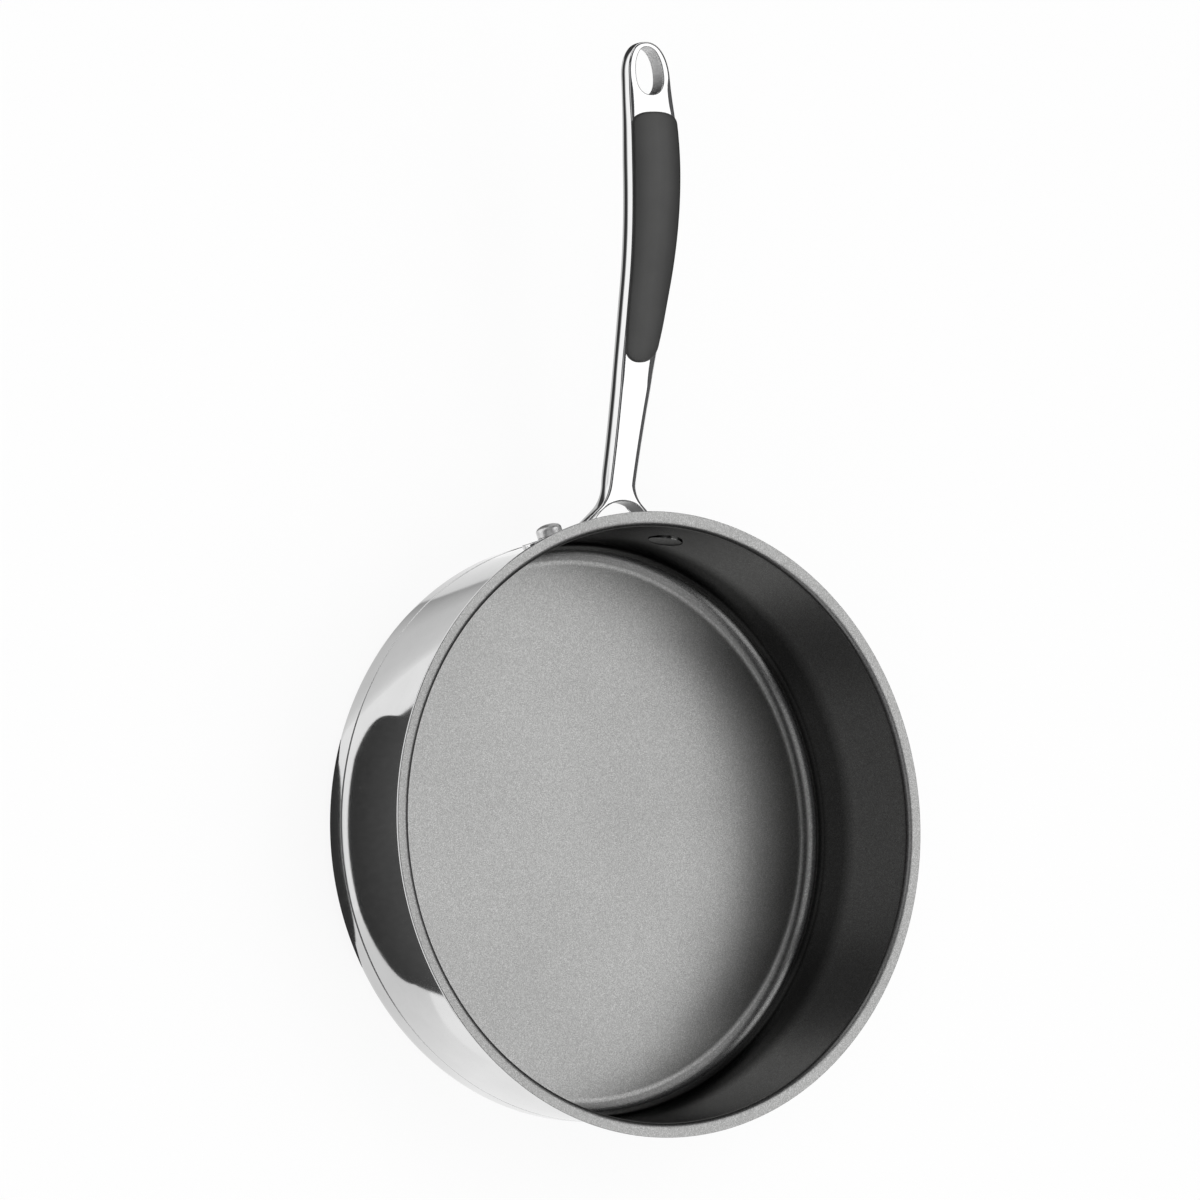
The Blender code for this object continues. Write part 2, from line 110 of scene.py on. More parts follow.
# Grip
GRIP_START = 0.0632
GRIP_END = 0.1621
GRIP_NOSE_REACH = 0.0066
GRIP_NOSE_POWER = 2.3
GRIP_CREST_REACH = 0.0054
GRIP_CREST_POWER = 2.5
GRIP_INSET = 0.0002
NOSE_INSET = 0.0006
NOSE_RUN = 0.016

# Fineness of the meshes
ROUND_STEPS = 240
RIVET_STEPS = 56
CORNER_STEPS = 14
EDGE_STEPS = 6
WRAP_STEPS = 5
FLARE_STEPS = 12
DOME_STEPS = 10
TIP_STEPS = 22
ARCH_STEPS = 80
HOLE_STEPS = 64
FLANGE_STEPS = 60
CAP_STEPS = 24
END_STEPS = 30
FORK_STEP = 0.0003
BAR_STEP = 0.0009
GRIP_STEP = 0.0011
END_CROWDING = 1.3
RING_REACH = 0.0004
RING_SPACING = 0.012
LONG_RUN = 0.0030
SMOOTH_ANGLE = radians(32.0)


# Shapes of the turned pieces

def arc(centre, radius, start, end, steps):
    points = []
    for step in range(steps + 1):
        angle = start + (end - start) * step / steps
        points.append((centre[0] + radius * cos(angle), centre[1] + radius * sin(angle)))
    return points


FLARE_RADIUS = FLARE_BEND + WALL
FLARE_X = MOUTH_RADIUS + FLARE_RADIUS * cos(WALL_DRAFT)
LIP_START = FLARE_X - FLARE_RADIUS * sin(LIP_RISE)
FLARE_CENTRE = (FLARE_X, PAN_HEIGHT - (LIP_RADIUS - LIP_START) * tan(LIP_RISE)
                - FLARE_RADIUS * cos(LIP_RISE))
WALL_TOP = FLARE_CENTRE[1] + FLARE_RADIUS * sin(WALL_DRAFT)


def wall_radius(height, depth):
    """Radius of the drafted wall at a height, at a depth out from its inner face."""
    return MOUTH_RADIUS + ((height - WALL_TOP) * sin(WALL_DRAFT) + depth) / cos(WALL_DRAFT)


def corner(bottom, radius, depth):
    """Centre of a bend that joins a bottom to the wall's face at a depth."""
    return (wall_radius(bottom + radius, depth - radius), bottom + radius)


INSIDE_CORNER = corner(FLOOR_HEIGHT, CORNER_BEND, 0.0)
CAP_BEND = CORNER_BEND + WALL + CAP_STEP
CAP_CORNER = corner(0.0, CAP_BEND, WALL + CAP_STEP)


def corner_arc(centre, radius):
    return arc(centre, radius, -pi / 2, -WALL_DRAFT, CORNER_STEPS)


def flare_arc(depth):
    """The bend from the wall out into the lip, at a depth in the sheet."""
    return arc(FLARE_CENTRE, FLARE_RADIUS - depth, pi - WALL_DRAFT, pi / 2 + LIP_RISE, FLARE_STEPS)


def lip_point(radius, depth):
    """A point in the lip at a depth below its top face."""
    return (radius, PAN_HEIGHT - (LIP_RADIUS - radius) * tan(LIP_RISE) - depth / cos(LIP_RISE))


def supported(profile):
    """Add rings close to both ends of each long straight run, so that shading stays put."""
    points = [profile[0]]
    for start, end in zip(profile, profile[1:]):
        run = Vector((end[0] - start[0], end[1] - start[1]))
        if run.length > LONG_RUN:
            step = run * (RING_REACH / run.length)
            if start[0] > 0:
                points.append((start[0] + step.x, start[1] + step.y))
            count = int(run.length / RING_SPACING)
            for index in range(1, count):
                share = index / count
                points.append((start[0] + run.x * share, start[1] + run.y * share))
            if end[0] > 0:
                points.append((end[0] - step.x, end[1] - step.y))
        points.append(end)
    return points


def new_piece(name, vertices, faces):
    """A mesh object with outward normals and smooth shading up to the sharp edges."""
    mesh = bpy.data.meshes.new(name)
    mesh.from_pydata([tuple(v) for v in vertices], [], faces)
    shape = bmesh.new()
    shape.from_mesh(mesh)
    bmesh.ops.recalc_face_normals(shape, faces=shape.faces)
    shape.to_mesh(mesh)
    shape.free()
    mesh.shade_smooth()
    mesh.set_sharp_from_angle(angle=SMOOTH_ANGLE)
    piece = bpy.data.objects.new(name, mesh)
    bpy.context.scene.collection.objects.link(piece)
    return piece


def turned(name, profile, steps=ROUND_STEPS):
    """A closed solid turned about Z from (radius, height) points that start and end on the axis."""
    vertices = []
    rings = []
    for radius, height in profile:
        if radius == 0.0:
            rings.append([len(vertices)])
            vertices.append((0.0, 0.0, height))
            continue
        rings.append(list(range(len(vertices), len(vertices) + steps)))
        for step in range(steps):
            angle = 2 * pi * step / steps
            vertices.append((radius * cos(angle), radius * sin(angle), height))
    faces = []
    for low, high in zip(rings, rings[1:]):
        for step in range(steps):
            after = (step + 1) % steps
            ring = [low[step % len(low)], low[after % len(low)],
                    high[after % len(high)], high[step % len(high)]]
            faces.append(list(dict.fromkeys(ring)))
    return new_piece(name, vertices, faces)


def make_pan_pieces():
    """The shell, the lining and the base's cap."""
    inner = [(0.0, FLOOR_HEIGHT - COATING)]
    inner += corner_arc(INSIDE_CORNER, CORNER_BEND + COATING)
    inner += flare_arc(COATING)
    upper = lip_point(LIP_RADIUS - EDGE_CORNER, COATING + EDGE_CORNER)
    lower = lip_point(LIP_RADIUS - EDGE_CORNER, WALL - EDGE_CORNER)
    edge = arc(upper, EDGE_CORNER, pi / 2 + LIP_RISE, 0.0, EDGE_STEPS)
    edge += arc(lower, EDGE_CORNER, 0.0, LIP_RISE - pi / 2, EDGE_STEPS)
    outer = list(reversed(flare_arc(WALL)))
    outer.append((wall_radius(SEAM_HEIGHT, WALL), SEAM_HEIGHT))
    outer.append((wall_radius(SEAM_HEIGHT, BODY_BACK), SEAM_HEIGHT - SEAM_GAP))
    outer += reversed(corner_arc(INSIDE_CORNER, CORNER_BEND + BODY_BACK))
    outer.append((0.0, FLOOR_HEIGHT - BODY_BACK))
    shell = turned("pan_body", supported(inner + edge + outer))

    top = [(0.0, FLOOR_HEIGHT)] + corner_arc(INSIDE_CORNER, CORNER_BEND) + flare_arc(0.0)
    top += arc(upper, EDGE_CORNER + COATING, pi / 2 + LIP_RISE, pi / 2 - COATING_WRAP, WRAP_STEPS)
    under = [lip_point(LIP_RADIUS - TUCK_IN, TUCK_DOWN)]
    under += reversed(flare_arc(LINING_BACK))
    under += reversed(corner_arc(INSIDE_CORNER, CORNER_BEND + LINING_BACK))
    under.append((0.0, FLOOR_HEIGHT - LINING_BACK))
    lining = turned("pan_lining", supported(top + under))

    outside = [(0.0, 0.0)] + corner_arc(CAP_CORNER, CAP_BEND)
    brim_top = SEAM_HEIGHT - SEAM_GAP
    outside.append((wall_radius(brim_top - BRIM_ROUND, WALL + CAP_STEP), brim_top - BRIM_ROUND))
    outside.append((wall_radius(brim_top, WALL + CAP_STEP - BRIM_SLOPE), brim_top - BRIM_SLOPE))
    outside.append((wall_radius(brim_top, WALL + CAP_STEP - BRIM_ROUND), brim_top))
    inside = [(wall_radius(brim_top, WALL + CAP_STEP - CAP_SHEET), brim_top)]
    inside += reversed(corner_arc(CAP_CORNER, CAP_BEND - CAP_SHEET))
    inside.append((0.0, CAP_SHEET))
    cap = turned("pan_base_cap", supported(outside + inside))
    return shell, lining, cap


# Handle line and widths

HANDLE_ROOT = wall_radius(RIVET_HEIGHT, FLANGE_OUTSIDE)
BEND_RUN = BEND_RADIUS * (sin(HANDLE_PITCH) - sin(TIP_PITCH))
HANDLE_LENGTH = RISE_RUN + BEND_RUN + TIP_RUN
HOLE_MIDDLE = HANDLE_ROOT + HANDLE_LENGTH - HOLE_END_WALL - HOLE_LENGTH / 2
NECK_HALF = NECK_WIDTH / 2
SPLAY_START = FORK_PLACE - FORK_BEND * sin(FORK_SPLAY)
SPLAY_HALF = NECK_HALF + FORK_BEND * (1 - cos(FORK_SPLAY))


def top_height(place):
    """Height of the handle's top line: a straight rise, a bend and a straight tip."""
    if place <= RISE_RUN:
        return LEG_TOP_HEIGHT + place * tan(HANDLE_PITCH)
    across = min(place - RISE_RUN, BEND_RUN) - BEND_RADIUS * sin(HANDLE_PITCH)
    drop = BEND_RADIUS - sqrt(BEND_RADIUS ** 2 - across ** 2)
    crest = LEG_TOP_HEIGHT + RISE_RUN * tan(HANDLE_PITCH) + BEND_RADIUS * (1 - cos(HANDLE_PITCH))
    return crest - drop + max(place - RISE_RUN - BEND_RUN, 0.0) * tan(TIP_PITCH)


def face_height(place):
    """Height of the handle's top face, which levels out where the fork meets the pan."""
    root = max(place, 0.0)
    return top_height(root) + (place - root) * tan(HANDLE_PITCH) + FORK_LIFT * (1 - ease(place, *LIFT_RUN))


def ease(place, start, end):
    share = min(max((place - start) / (end - start), 0.0), 1.0)
    return share * share * (3 - 2 * share)


def half_width(place):
    """Half width of the handle: the fork's splay and bend, the bar, and the rounded tip."""
    if place < SPLAY_START:
        return SPLAY_HALF + (SPLAY_START - place) * tan(FORK_SPLAY)
    if place < FORK_PLACE:
        return NECK_HALF + FORK_BEND - sqrt(FORK_BEND ** 2 - (FORK_PLACE - place) ** 2)
    if place < PALM_PLACE:
        return NECK_HALF + (PALM_WIDTH / 2 - NECK_HALF) * ease(place, FORK_PLACE, PALM_PLACE)
    round_start = HANDLE_LENGTH - TIP_ROUND
    straight = PALM_WIDTH / 2 + (TIP_WIDTH - PALM_WIDTH) / 2 * ease(place, PALM_PLACE, HANDLE_LENGTH)
    share = (place - round_start) / TIP_ROUND
    if share <= 0:
        return straight
    return straight * max(1 - share ** TIP_POWER, 0.0) ** (1 / TIP_POWER)


def along(place, neck, palm, tip):
    """A measure that eases from its value at the neck to the palm's and on to the tip's."""
    if place < PALM_PLACE:
        return neck + (palm - neck) * ease(place, FORK_PLACE, PALM_PLACE)
    return palm + (tip - palm) * ease(place, PALM_PLACE, HANDLE_LENGTH)


# Slabs: a flat outline in millimetres with shaped edges, laid onto a surface

MM = 1000
CHUNK = 400
RING_CLEAR = 0.94
TRIANGLE_RISE = 0.866
UNDER_SPACING = 1.6


def each(function, places):
    return np.array([function(place) for place in places])


def edge_pairs(loops):
    starts = np.concatenate(loops)
    ends = np.concatenate([np.roll(loop, -1, axis=0) for loop in loops])
    return starts, ends


def distance_to(points, starts, ends):
    """Distance from each point to the nearest of the edges, worked out in chunks."""
    result = np.empty(len(points))
    span = ends - starts
    square = np.maximum((span ** 2).sum(1), 1e-18)
    for begin in range(0, len(points), CHUNK):
        part = points[begin:begin + CHUNK]
        offset = part[:, None, :] - starts[None]
        share = np.clip((offset * span[None]).sum(2) / square[None], 0.0, 1.0)
        gap = offset - share[..., None] * span[None]
        result[begin:begin + CHUNK] = np.sqrt((gap ** 2).sum(2).min(1))
    return result


def inside_of(points, loops):
    """True for each point with an odd number of edges on its right."""
    starts, ends = edge_pairs(loops)
    count = np.zeros(len(points), int)
    for (x0, y0), (x1, y1) in zip(starts, ends):
        if y0 == y1:
            continue
        crosses = (points[:, 1] >= min(y0, y1)) & (points[:, 1] < max(y0, y1))
        at = x0 + (points[:, 1] - y0) * (x1 - x0) / (y1 - y0)
        count += crosses & (points[:, 0] < at)
    return count % 2 == 1


def inward_normals(loop):
    """Unit normals that point left of the way round, which is into the solid."""
    before = loop - np.roll(loop, 1, axis=0)
    after = np.roll(loop, -1, axis=0) - loop
    total = before / np.linalg.norm(before, axis=1, keepdims=True)
    total = total + after / np.linalg.norm(after, axis=1, keepdims=True)
    total /= np.linalg.norm(total, axis=1, keepdims=True)
    return np.stack([-total[:, 1], total[:, 0]], axis=1)


def fill(loops, depths, spacing):
    """Triangles over the outline, with rings of points at the given depths from its edges."""
    starts, ends = edge_pairs(loops)
    points = [np.concatenate(loops)]
    for loop in loops:
        normals = inward_normals(loop)
        alive = np.ones(len(loop), bool)
        for depth in depths:
            ring = loop + normals * depth
            alive &= distance_to(ring, starts, ends) > depth * RING_CLEAR
            points.append(ring[alive])
    low = loops[0].min(0)
    high = loops[0].max(0)
    rows = int((high[1] - low[1]) / (spacing * TRIANGLE_RISE)) + 2
    columns = int((high[0] - low[0]) / spacing) + 2
    grid = []
    for row in range(rows):
        for column in range(columns):
            grid.append((low[0] + (column + 0.5 * (row % 2)) * spacing,
                         low[1] + row * spacing * TRIANGLE_RISE))
    grid = np.array(grid)
    grid = grid[inside_of(grid, loops)]
    last = depths[-1] if depths else 0.0
    grid = grid[distance_to(grid, starts, ends) > last + spacing * 0.5]
    points.append(grid)
    points = np.concatenate(points)
    edges = []
    first = 0
    for loop in loops:
        count = len(loop)
        edges += [(first + i, first + (i + 1) % count) for i in range(count)]
        first += count
    result = delaunay_2d_cdt([Vector(p) for p in points], edges, [], 0, 1e-7)
    placed = np.array([tuple(v) for v in result[0]])
    faces = np.array([tuple(f) for f in result[2]])
    keep = inside_of(placed[faces].mean(1), loops)
    boundary = {}
    for index, sources in enumerate(result[3]):
        for source in sources:
            if source < first:
                boundary[source] = index
    return placed, faces[keep], [boundary[i] for i in range(first)]


def slab(name, loops, depths, spacing, top, sides, low, place):
    """A closed solid over the outline: a top, rows down its sides, and an underside."""
    flat, faces, rim = fill(loops, depths, spacing)
    vertices = [place(u, v, w) for (u, v), w in zip(flat, top(flat))]
    triangles = [tuple(f) for f in faces]
    previous = list(rim)
    for row_loops, heights in sides(loops):
        current = []
        for (u, v), w in zip(np.concatenate(row_loops), heights):
            current.append(len(vertices))
            vertices.append(place(u, v, w))
        first = 0
        for loop in loops:
            count = len(loop)
            for i in range(count):
                a, b = first + i, first + (i + 1) % count
                triangles.append((previous[a], previous[b], current[b], current[a]))
            first += count
        previous = current
    flat, faces, rim = fill(row_loops, [], spacing * UNDER_SPACING)
    rim_of = {index: previous[order] for order, index in enumerate(rim)}
    heights = low(flat)
    lookup = []
    for index, (u, v) in enumerate(flat):
        if index in rim_of:
            lookup.append(rim_of[index])
        else:
            lookup.append(len(vertices))
            vertices.append(place(u, v, heights[index]))
    triangles += [tuple(lookup[i] for i in f) for f in faces]
    used = sorted({i for f in triangles for i in f})
    order = {old: new for new, old in enumerate(used)}
    vertices = [vertices[i] for i in used]
    triangles = [tuple(order[i] for i in f) for f in triangles]
    return new_piece(name, vertices, triangles)


def level_place(u, v, w):
    """Place of a slab's point that isn't bent onto anything."""
    return (u / MM, v / MM, w / MM)


def sampled(start, end, step):
    """Even places from start to end, about a step apart."""
    count = max(int(round((end - start) / step)), 1)
    return [start + (end - start) * i / count for i in range(count + 1)]


def places_of(flat):
    """Places along the handle, in metres, of a slab's flat points."""
    return (flat[:, 0] - HANDLE_ROOT * MM) / MM


# Handle: the section's sizes in millimetres, and runs along the handle in metres

EDGE = 1.05
ARRIS = 0.5
ROLL_TILT = radians(22.0)
UPPER_LEAN = radians(12.0)
LOWER_LEAN = radians(35.0)
EDGE_SPAN = EDGE * (cos(UPPER_LEAN) - sin(ROLL_TILT))
EDGE_FALL = EDGE * (cos(ROLL_TILT) - sin(UPPER_LEAN))
ROOT_SINK = 1.6
TIP_TRIM = 0.17

# Width of the roll, what it loses at the tip and gains at both ends of the grip, and its share on the legs
ROLL_WIDTH = 2.2
TIP_LOSS = 1.3
TIP_LOSS_RUN = (0.171, 0.178)
CREST_GAIN = (1.2, 0.156, 0.166, 0.166, 0.177)
NOSE_GAIN = (1.4, 0.052, 0.061, 0.064, 0.080)
LEG_ROLL = 0.35
LEG_ROLL_START = 0.004

# Side: its bow's radius, the least share of it on slim places, the leans down it, and its rounded foot
SIDE_BOW = (12.3, 11.8, 8.4)
LEG_SHARE = 0.55
LEG_RUN = (0.0, 0.022)
LEAST_BOW = 0.5
SIDE_DROP = 0.43
SIDE_LEANS = (-6, 0, 5, 10, 15, 20, 25, 30, 35)
FOOT_LEANS = (50, 62, 74, 86)
FOOT_ROUND = 1.1
ARCH_FOOT = 0.5
HOLE_FOOT = 1.2
FOOT_FALL = 0.42
BELLY = (1.0, 0.9, 0.4)
BELLY_INSET = 2.6

HANDLE_RINGS = [0.03, 0.10, 0.20, 0.34, 0.50, 0.72, 1.0, 1.4, 1.9, 2.5, 3.1]
HANDLE_SPACING = 1.5


def brim_half(place):
    """Half width of the handle at its top edge, in millimetres."""
    return (half_width(place) - TOP_INSET * min(half_width(place) / NECK_HALF, 1.0)) * MM


def handle_loops():
    """The handle's outline and its hole, and which of the outline's points have the rolled edge."""
    face = HANDLE_ROOT * MM
    root = face - ROOT_SINK
    places = sampled((root - face) / MM, FORK_PLACE, FORK_STEP)
    places += sampled(FORK_PLACE, HANDLE_LENGTH - TIP_ROUND, BAR_STEP)[1:]
    side = [(face + place * MM, brim_half(place)) for place in places]
    for step in range(1, TIP_STEPS):
        angle = pi / 2 * step / TIP_STEPS
        place = HANDLE_LENGTH - TIP_ROUND * (1 - sin(angle))
        side.append((face + place * MM - TIP_TRIM * sin(angle), brim_half(place)))
    tip = [(face + HANDLE_LENGTH * MM - TIP_TRIM, 0.0)]
    mirrored = [(x, -y) for x, y in side]
    centre = (HANDLE_ROOT + ARCH_REACH - ARCH_RADIUS) * MM
    radius = ARCH_RADIUS * MM
    reach = asin((root - centre) / radius)
    arch = []
    for step in range(ARCH_STEPS + 1):
        angle = (pi / 2 - reach) * (1 - 2 * step / ARCH_STEPS)
        arch.append((centre + radius * cos(angle), radius * sin(angle)))
    outer = np.array(mirrored + tip + side[::-1] + arch)
    rolled = np.array([True] * (2 * len(side) + 1) + [False] * len(arch))
    hole = []
    for step in range(HOLE_STEPS):
        angle = -2 * pi * step / HOLE_STEPS
        x = HOLE_LENGTH * MM / 2 * copysign(abs(cos(angle)) ** HOLE_FULLNESS, cos(angle))
        y = HOLE_WIDTH * MM / 2 * copysign(abs(sin(angle)) ** HOLE_FULLNESS, sin(angle))
        hole.append((HOLE_MIDDLE * MM + x, y * (1 - HOLE_TAPER * cos(angle))))
    return outer, np.array(hole), rolled


def side_bow(place):
    """Radius of the handle's bowed side, in millimetres, smaller on the fork's legs."""
    return along(place, *SIDE_BOW) * (LEG_SHARE + (1 - LEG_SHARE) * ease(place, *LEG_RUN))


def swell(place, gain, rise_start, rise_end, fall_start, fall_end):
    return gain * ease(place, rise_start, rise_end) * (1 - ease(place, fall_start, fall_end))


def roll_width(place):
    width = ROLL_WIDTH - TIP_LOSS * ease(place, *TIP_LOSS_RUN)
    width += swell(place, *CREST_GAIN)
    width += swell(place, *NOSE_GAIN)
    return width * (LEG_ROLL + (1 - LEG_ROLL) * ease(place, LEG_ROLL_START, FORK_PLACE))


def line_level(places):
    """Height of the handle's top line in millimetres, carried on straight inside the flange."""
    level = each(top_height, np.maximum(places, 0.0)) * MM
    return level - (np.maximum(-places, 0) * tan(HANDLE_PITCH)) * MM


def arris_drop(distance, radius):
    """Fall of a face over its rounded edge."""
    inside = np.clip((radius - distance) / radius, 0.0, 1.0)
    return radius * (1 - np.sqrt(1 - inside ** 2))


def roll_fall(distance, width):
    """Fall of the handle's top face over its roll."""
    radius = width / sin(ROLL_TILT)
    share = np.clip((EDGE_SPAN + width - distance) / radius, 0.0, sin(ROLL_TILT))
    return radius * (1 - np.sqrt(1 - share ** 2))


def roll_drop(distance, width):
    """Fall of the handle's top face over its roll and its rounded edge."""
    reach = np.clip((EDGE_SPAN - distance) / EDGE + sin(ROLL_TILT), sin(ROLL_TILT), cos(UPPER_LEAN))
    return roll_fall(distance, width) + EDGE * (cos(ROLL_TILT) - np.sqrt(1 - reach ** 2))


def make_handle():
    """The fork, the bar and the tip, with the hanging hole."""
    outer, hole, soft = handle_loops()
    ends = np.roll(outer, -1, axis=0)
    rolled = soft & np.roll(soft, -1)
    crisp_starts = np.concatenate([outer[~rolled], hole])
    crisp_ends = np.concatenate([ends[~rolled], np.roll(hole, -1, axis=0)])
    bowed = np.concatenate([soft, np.zeros(len(hole), bool)])
    crisp_foot = np.concatenate([np.full(len(outer), ARCH_FOOT), np.full(len(hole), HOLE_FOOT)])
    foot_round = np.where(bowed, FOOT_ROUND, crisp_foot)

    def top(flat):
        place = places_of(flat)
        gap = distance_to(flat, outer[rolled], ends[rolled])
        level = each(face_height, place) * MM - roll_drop(gap, each(roll_width, place))
        return level - arris_drop(distance_to(flat, crisp_starts, crisp_ends), ARRIS)

    def sides(loops):
        flat = np.concatenate(loops)
        normals = np.concatenate([inward_normals(loop) for loop in loops])
        place = places_of(flat)
        half = each(half_width, np.maximum(place, 0.0))
        slim = np.where(bowed, np.clip(half / NECK_HALF, LEAST_BOW, 1.0), 0.0)
        bow = each(side_bow, place)
        start = top(flat)
        fall = bow * (sin(UPPER_LEAN) + sin(LOWER_LEAN))
        base = line_level(place) - (EDGE_FALL + SIDE_DROP) - fall
        base = base + np.where(bowed, 0.0, foot_round - FOOT_FALL)
        rows = []
        for lean in [radians(a) for a in SIDE_LEANS]:
            out = slim * bow * ((1 - cos(UPPER_LEAN)) - (1 - cos(lean)))
            share = (sin(UPPER_LEAN) + sin(lean)) / (sin(UPPER_LEAN) + sin(LOWER_LEAN))
            rows.append((out, start + (base - start) * share))
        last_out = rows[-1][0]
        turn_from = np.where(bowed, cos(LOWER_LEAN), 1.0)
        fall_from = np.where(bowed, sin(LOWER_LEAN), 0.0)
        for lean in [radians(a) for a in FOOT_LEANS]:
            out = last_out - foot_round * (turn_from - cos(lean)) * np.where(bowed, slim, 1.0)
            rows.append((out, base - foot_round * (sin(lean) - fall_from)))
        moved = [flat - normals * out[:, None] for out, height in rows]
        return [([m[:len(outer)], m[len(outer):]], row[1]) for m, row in zip(moved, rows)]

    def low(flat):
        place = places_of(flat)
        half = each(half_width, np.maximum(place, 0.0)) * MM - BELLY_INSET
        belly = np.array([along(p, *BELLY) for p in place])
        belly = belly * np.clip(1 - (flat[:, 1] / np.maximum(half, 1.0)) ** 2, 0.0, 1.0)
        depth = EDGE_FALL + SIDE_DROP + each(side_bow, place) * (sin(UPPER_LEAN) + sin(LOWER_LEAN))
        return line_level(place) - depth - FOOT_FALL - belly

    return slab("handle_bar", [outer, hole], HANDLE_RINGS, HANDLE_SPACING, top, sides, low, level_place)


# Flange: edge radius, and rows down its side as height and inset, in millimetres

FLANGE_ARRIS = 0.55
FLANGE_ROWS = ((0.9, 0.0), (0.25, 0.0), (0.0, 0.2))
FLANGE_RINGS = [0.03, 0.11, 0.24, 0.40, 0.6]
FLANGE_SPACING = 1.6


def make_flange():
    """The plate on the wall, drawn flat as (way round, height) and bent onto it."""
    full = FLANGE_HEIGHT * MM / 2
    end = FLANGE_END_HEIGHT * MM / 2
    straight = FLANGE_LENGTH * MM / 2 - end
    shoulder = half_width(0.0) * MM
    upper = []
    for step in range(FLANGE_STEPS + 1):
        distance = straight * (1 - step / FLANGE_STEPS)
        upper.append((distance, full + (end - full) * ease(distance, shoulder, straight)))
    cap = []
    for step in range(1, CAP_STEPS):
        angle = pi * step / CAP_STEPS - pi / 2
        cap.append((straight + end * cos(angle), end * sin(angle)))
    right_half = [(u, -v) for u, v in upper[::-1]] + cap + upper
    outline = right_half[:-1] + [(-u, v) for u, v in upper[::-1]]
    outline += [(-u, v) for u, v in cap[::-1]] + [(-u, -v) for u, v in upper][:-1]
    outline = np.array(outline)
    thickness = (FLANGE_OUTSIDE - FLANGE_INSIDE) * MM
    starts, ends = edge_pairs([outline])

    def top(flat):
        return thickness - arris_drop(distance_to(flat, starts, ends), FLANGE_ARRIS)

    def sides(loops):
        flat = loops[0]
        normals = inward_normals(flat)
        return [([flat + normals * inset], np.full(len(flat), height)) for height, inset in FLANGE_ROWS]

    def low(flat):
        return np.zeros(len(flat))

    def bent_place(u, v, w):
        height = RIVET_HEIGHT + v / MM
        reach = wall_radius(height, FLANGE_INSIDE + w / MM)
        angle = u / (HANDLE_ROOT * MM)
        return (reach * cos(angle), reach * sin(angle), height)

    return slab("handle_flange", [outline], FLANGE_RINGS, FLANGE_SPACING, top, sides, low, bent_place)


# Grip: how it stands proud with a crown and a rounded edge, and its skirt into the metal, in millimetres

GRIP_PROUD = 0.55
GRIP_CROWN = 1.08
CROWN_HALF = 11.0
LEAST_HALF = 3.0
CROWN_POWER = 2.4
GRIP_ARRIS = 0.8
ARRIS_SHARE = 0.9
SKIRT_LIFT = 0.10
SKIRT_TUCK = 0.25
BACK_LIFT = 0.04
GRIP_RINGS = [0.04, 0.12, 0.25, 0.42, 0.65, 1.0, 1.6, 2.4]
GRIP_SPACING = 1.6


def end_share(distance, reach, power):
    """Share of the full width at a distance from a rounded end, between an ellipse and a box."""
    if distance >= reach:
        return 1.0
    return (1 - (1 - distance / reach) ** power) ** (1 / power)


def end_place(reach, share):
    """Distance from a rounded end, crowded towards it."""
    return reach * (1 - cos(pi / 2 * share ** END_CROWDING))


def grip_half(place):
    """Half width of the grip in millimetres."""
    value = half_width(place) - GRIP_INSET
    value -= NOSE_INSET * (1 - ease(place, GRIP_START, GRIP_START + NOSE_RUN))
    value *= end_share(place - GRIP_START, GRIP_NOSE_REACH, GRIP_NOSE_POWER)
    value *= end_share(GRIP_END - place, GRIP_CREST_REACH, GRIP_CREST_POWER)
    return value * MM


def make_grip():
    """The insert, from its crowned top down to the handle's metal."""
    root = HANDLE_ROOT * MM
    places = [GRIP_START + end_place(GRIP_NOSE_REACH, step / END_STEPS) for step in range(1, END_STEPS)]
    places += sampled(GRIP_START + GRIP_NOSE_REACH, GRIP_END - GRIP_CREST_REACH, GRIP_STEP)
    places += [GRIP_END - end_place(GRIP_CREST_REACH, 1 - step / END_STEPS) for step in range(1, END_STEPS)]
    upper = [(root + p * MM, grip_half(p)) for p in places]
    outline = [(root + GRIP_START * MM, 0.0)] + [(x, -y) for x, y in upper]
    outline += [(root + GRIP_END * MM, 0.0)] + upper[::-1]
    outline = np.array(outline)
    starts, ends = edge_pairs([outline])

    def metal(flat):
        """Height of the handle's rolled face under the grip."""
        place = places_of(flat)
        gap = each(brim_half, place) - np.abs(flat[:, 1])
        return line_level(place) - roll_fall(gap, ROLL_WIDTH)

    def top(flat):
        place = places_of(flat)
        wide = np.maximum(each(grip_half, place), LEAST_HALF)
        across = np.clip(np.abs(flat[:, 1]) / wide, 0, 1)
        crown = GRIP_CROWN * (wide / CROWN_HALF) * (1 - across ** CROWN_POWER)
        edge = arris_drop(distance_to(flat, starts, ends), GRIP_ARRIS) * ARRIS_SHARE
        return line_level(place) + GRIP_PROUD + crown - edge

    def sides(loops):
        flat = loops[0]
        normals = inward_normals(flat)
        start = top(flat)
        under = metal(flat)
        return [([flat], start + (under - start) * 0.5),
                ([flat], under + SKIRT_LIFT),
                ([flat + normals * SKIRT_TUCK], under + BACK_LIFT)]

    def low(flat):
        return metal(flat) + BACK_LIFT

    return slab("silicone_grip", [outline], GRIP_RINGS, GRIP_SPACING, top, sides, low, level_place)


# Rivets

def rivet_matrix(side):
    """Place of a rivet in the drafted wall, with its axis square to it."""
    azimuth = side * asin(RIVET_SPACING / 2 / wall_radius(RIVET_HEIGHT, WALL))
    place = Matrix.Translation((wall_radius(RIVET_HEIGHT, 0.0), 0.0, RIVET_HEIGHT))
    return Matrix.Rotation(azimuth, 4, "Z") @ place @ Matrix.Rotation(pi / 2 + WALL_DRAFT, 4, "Y")


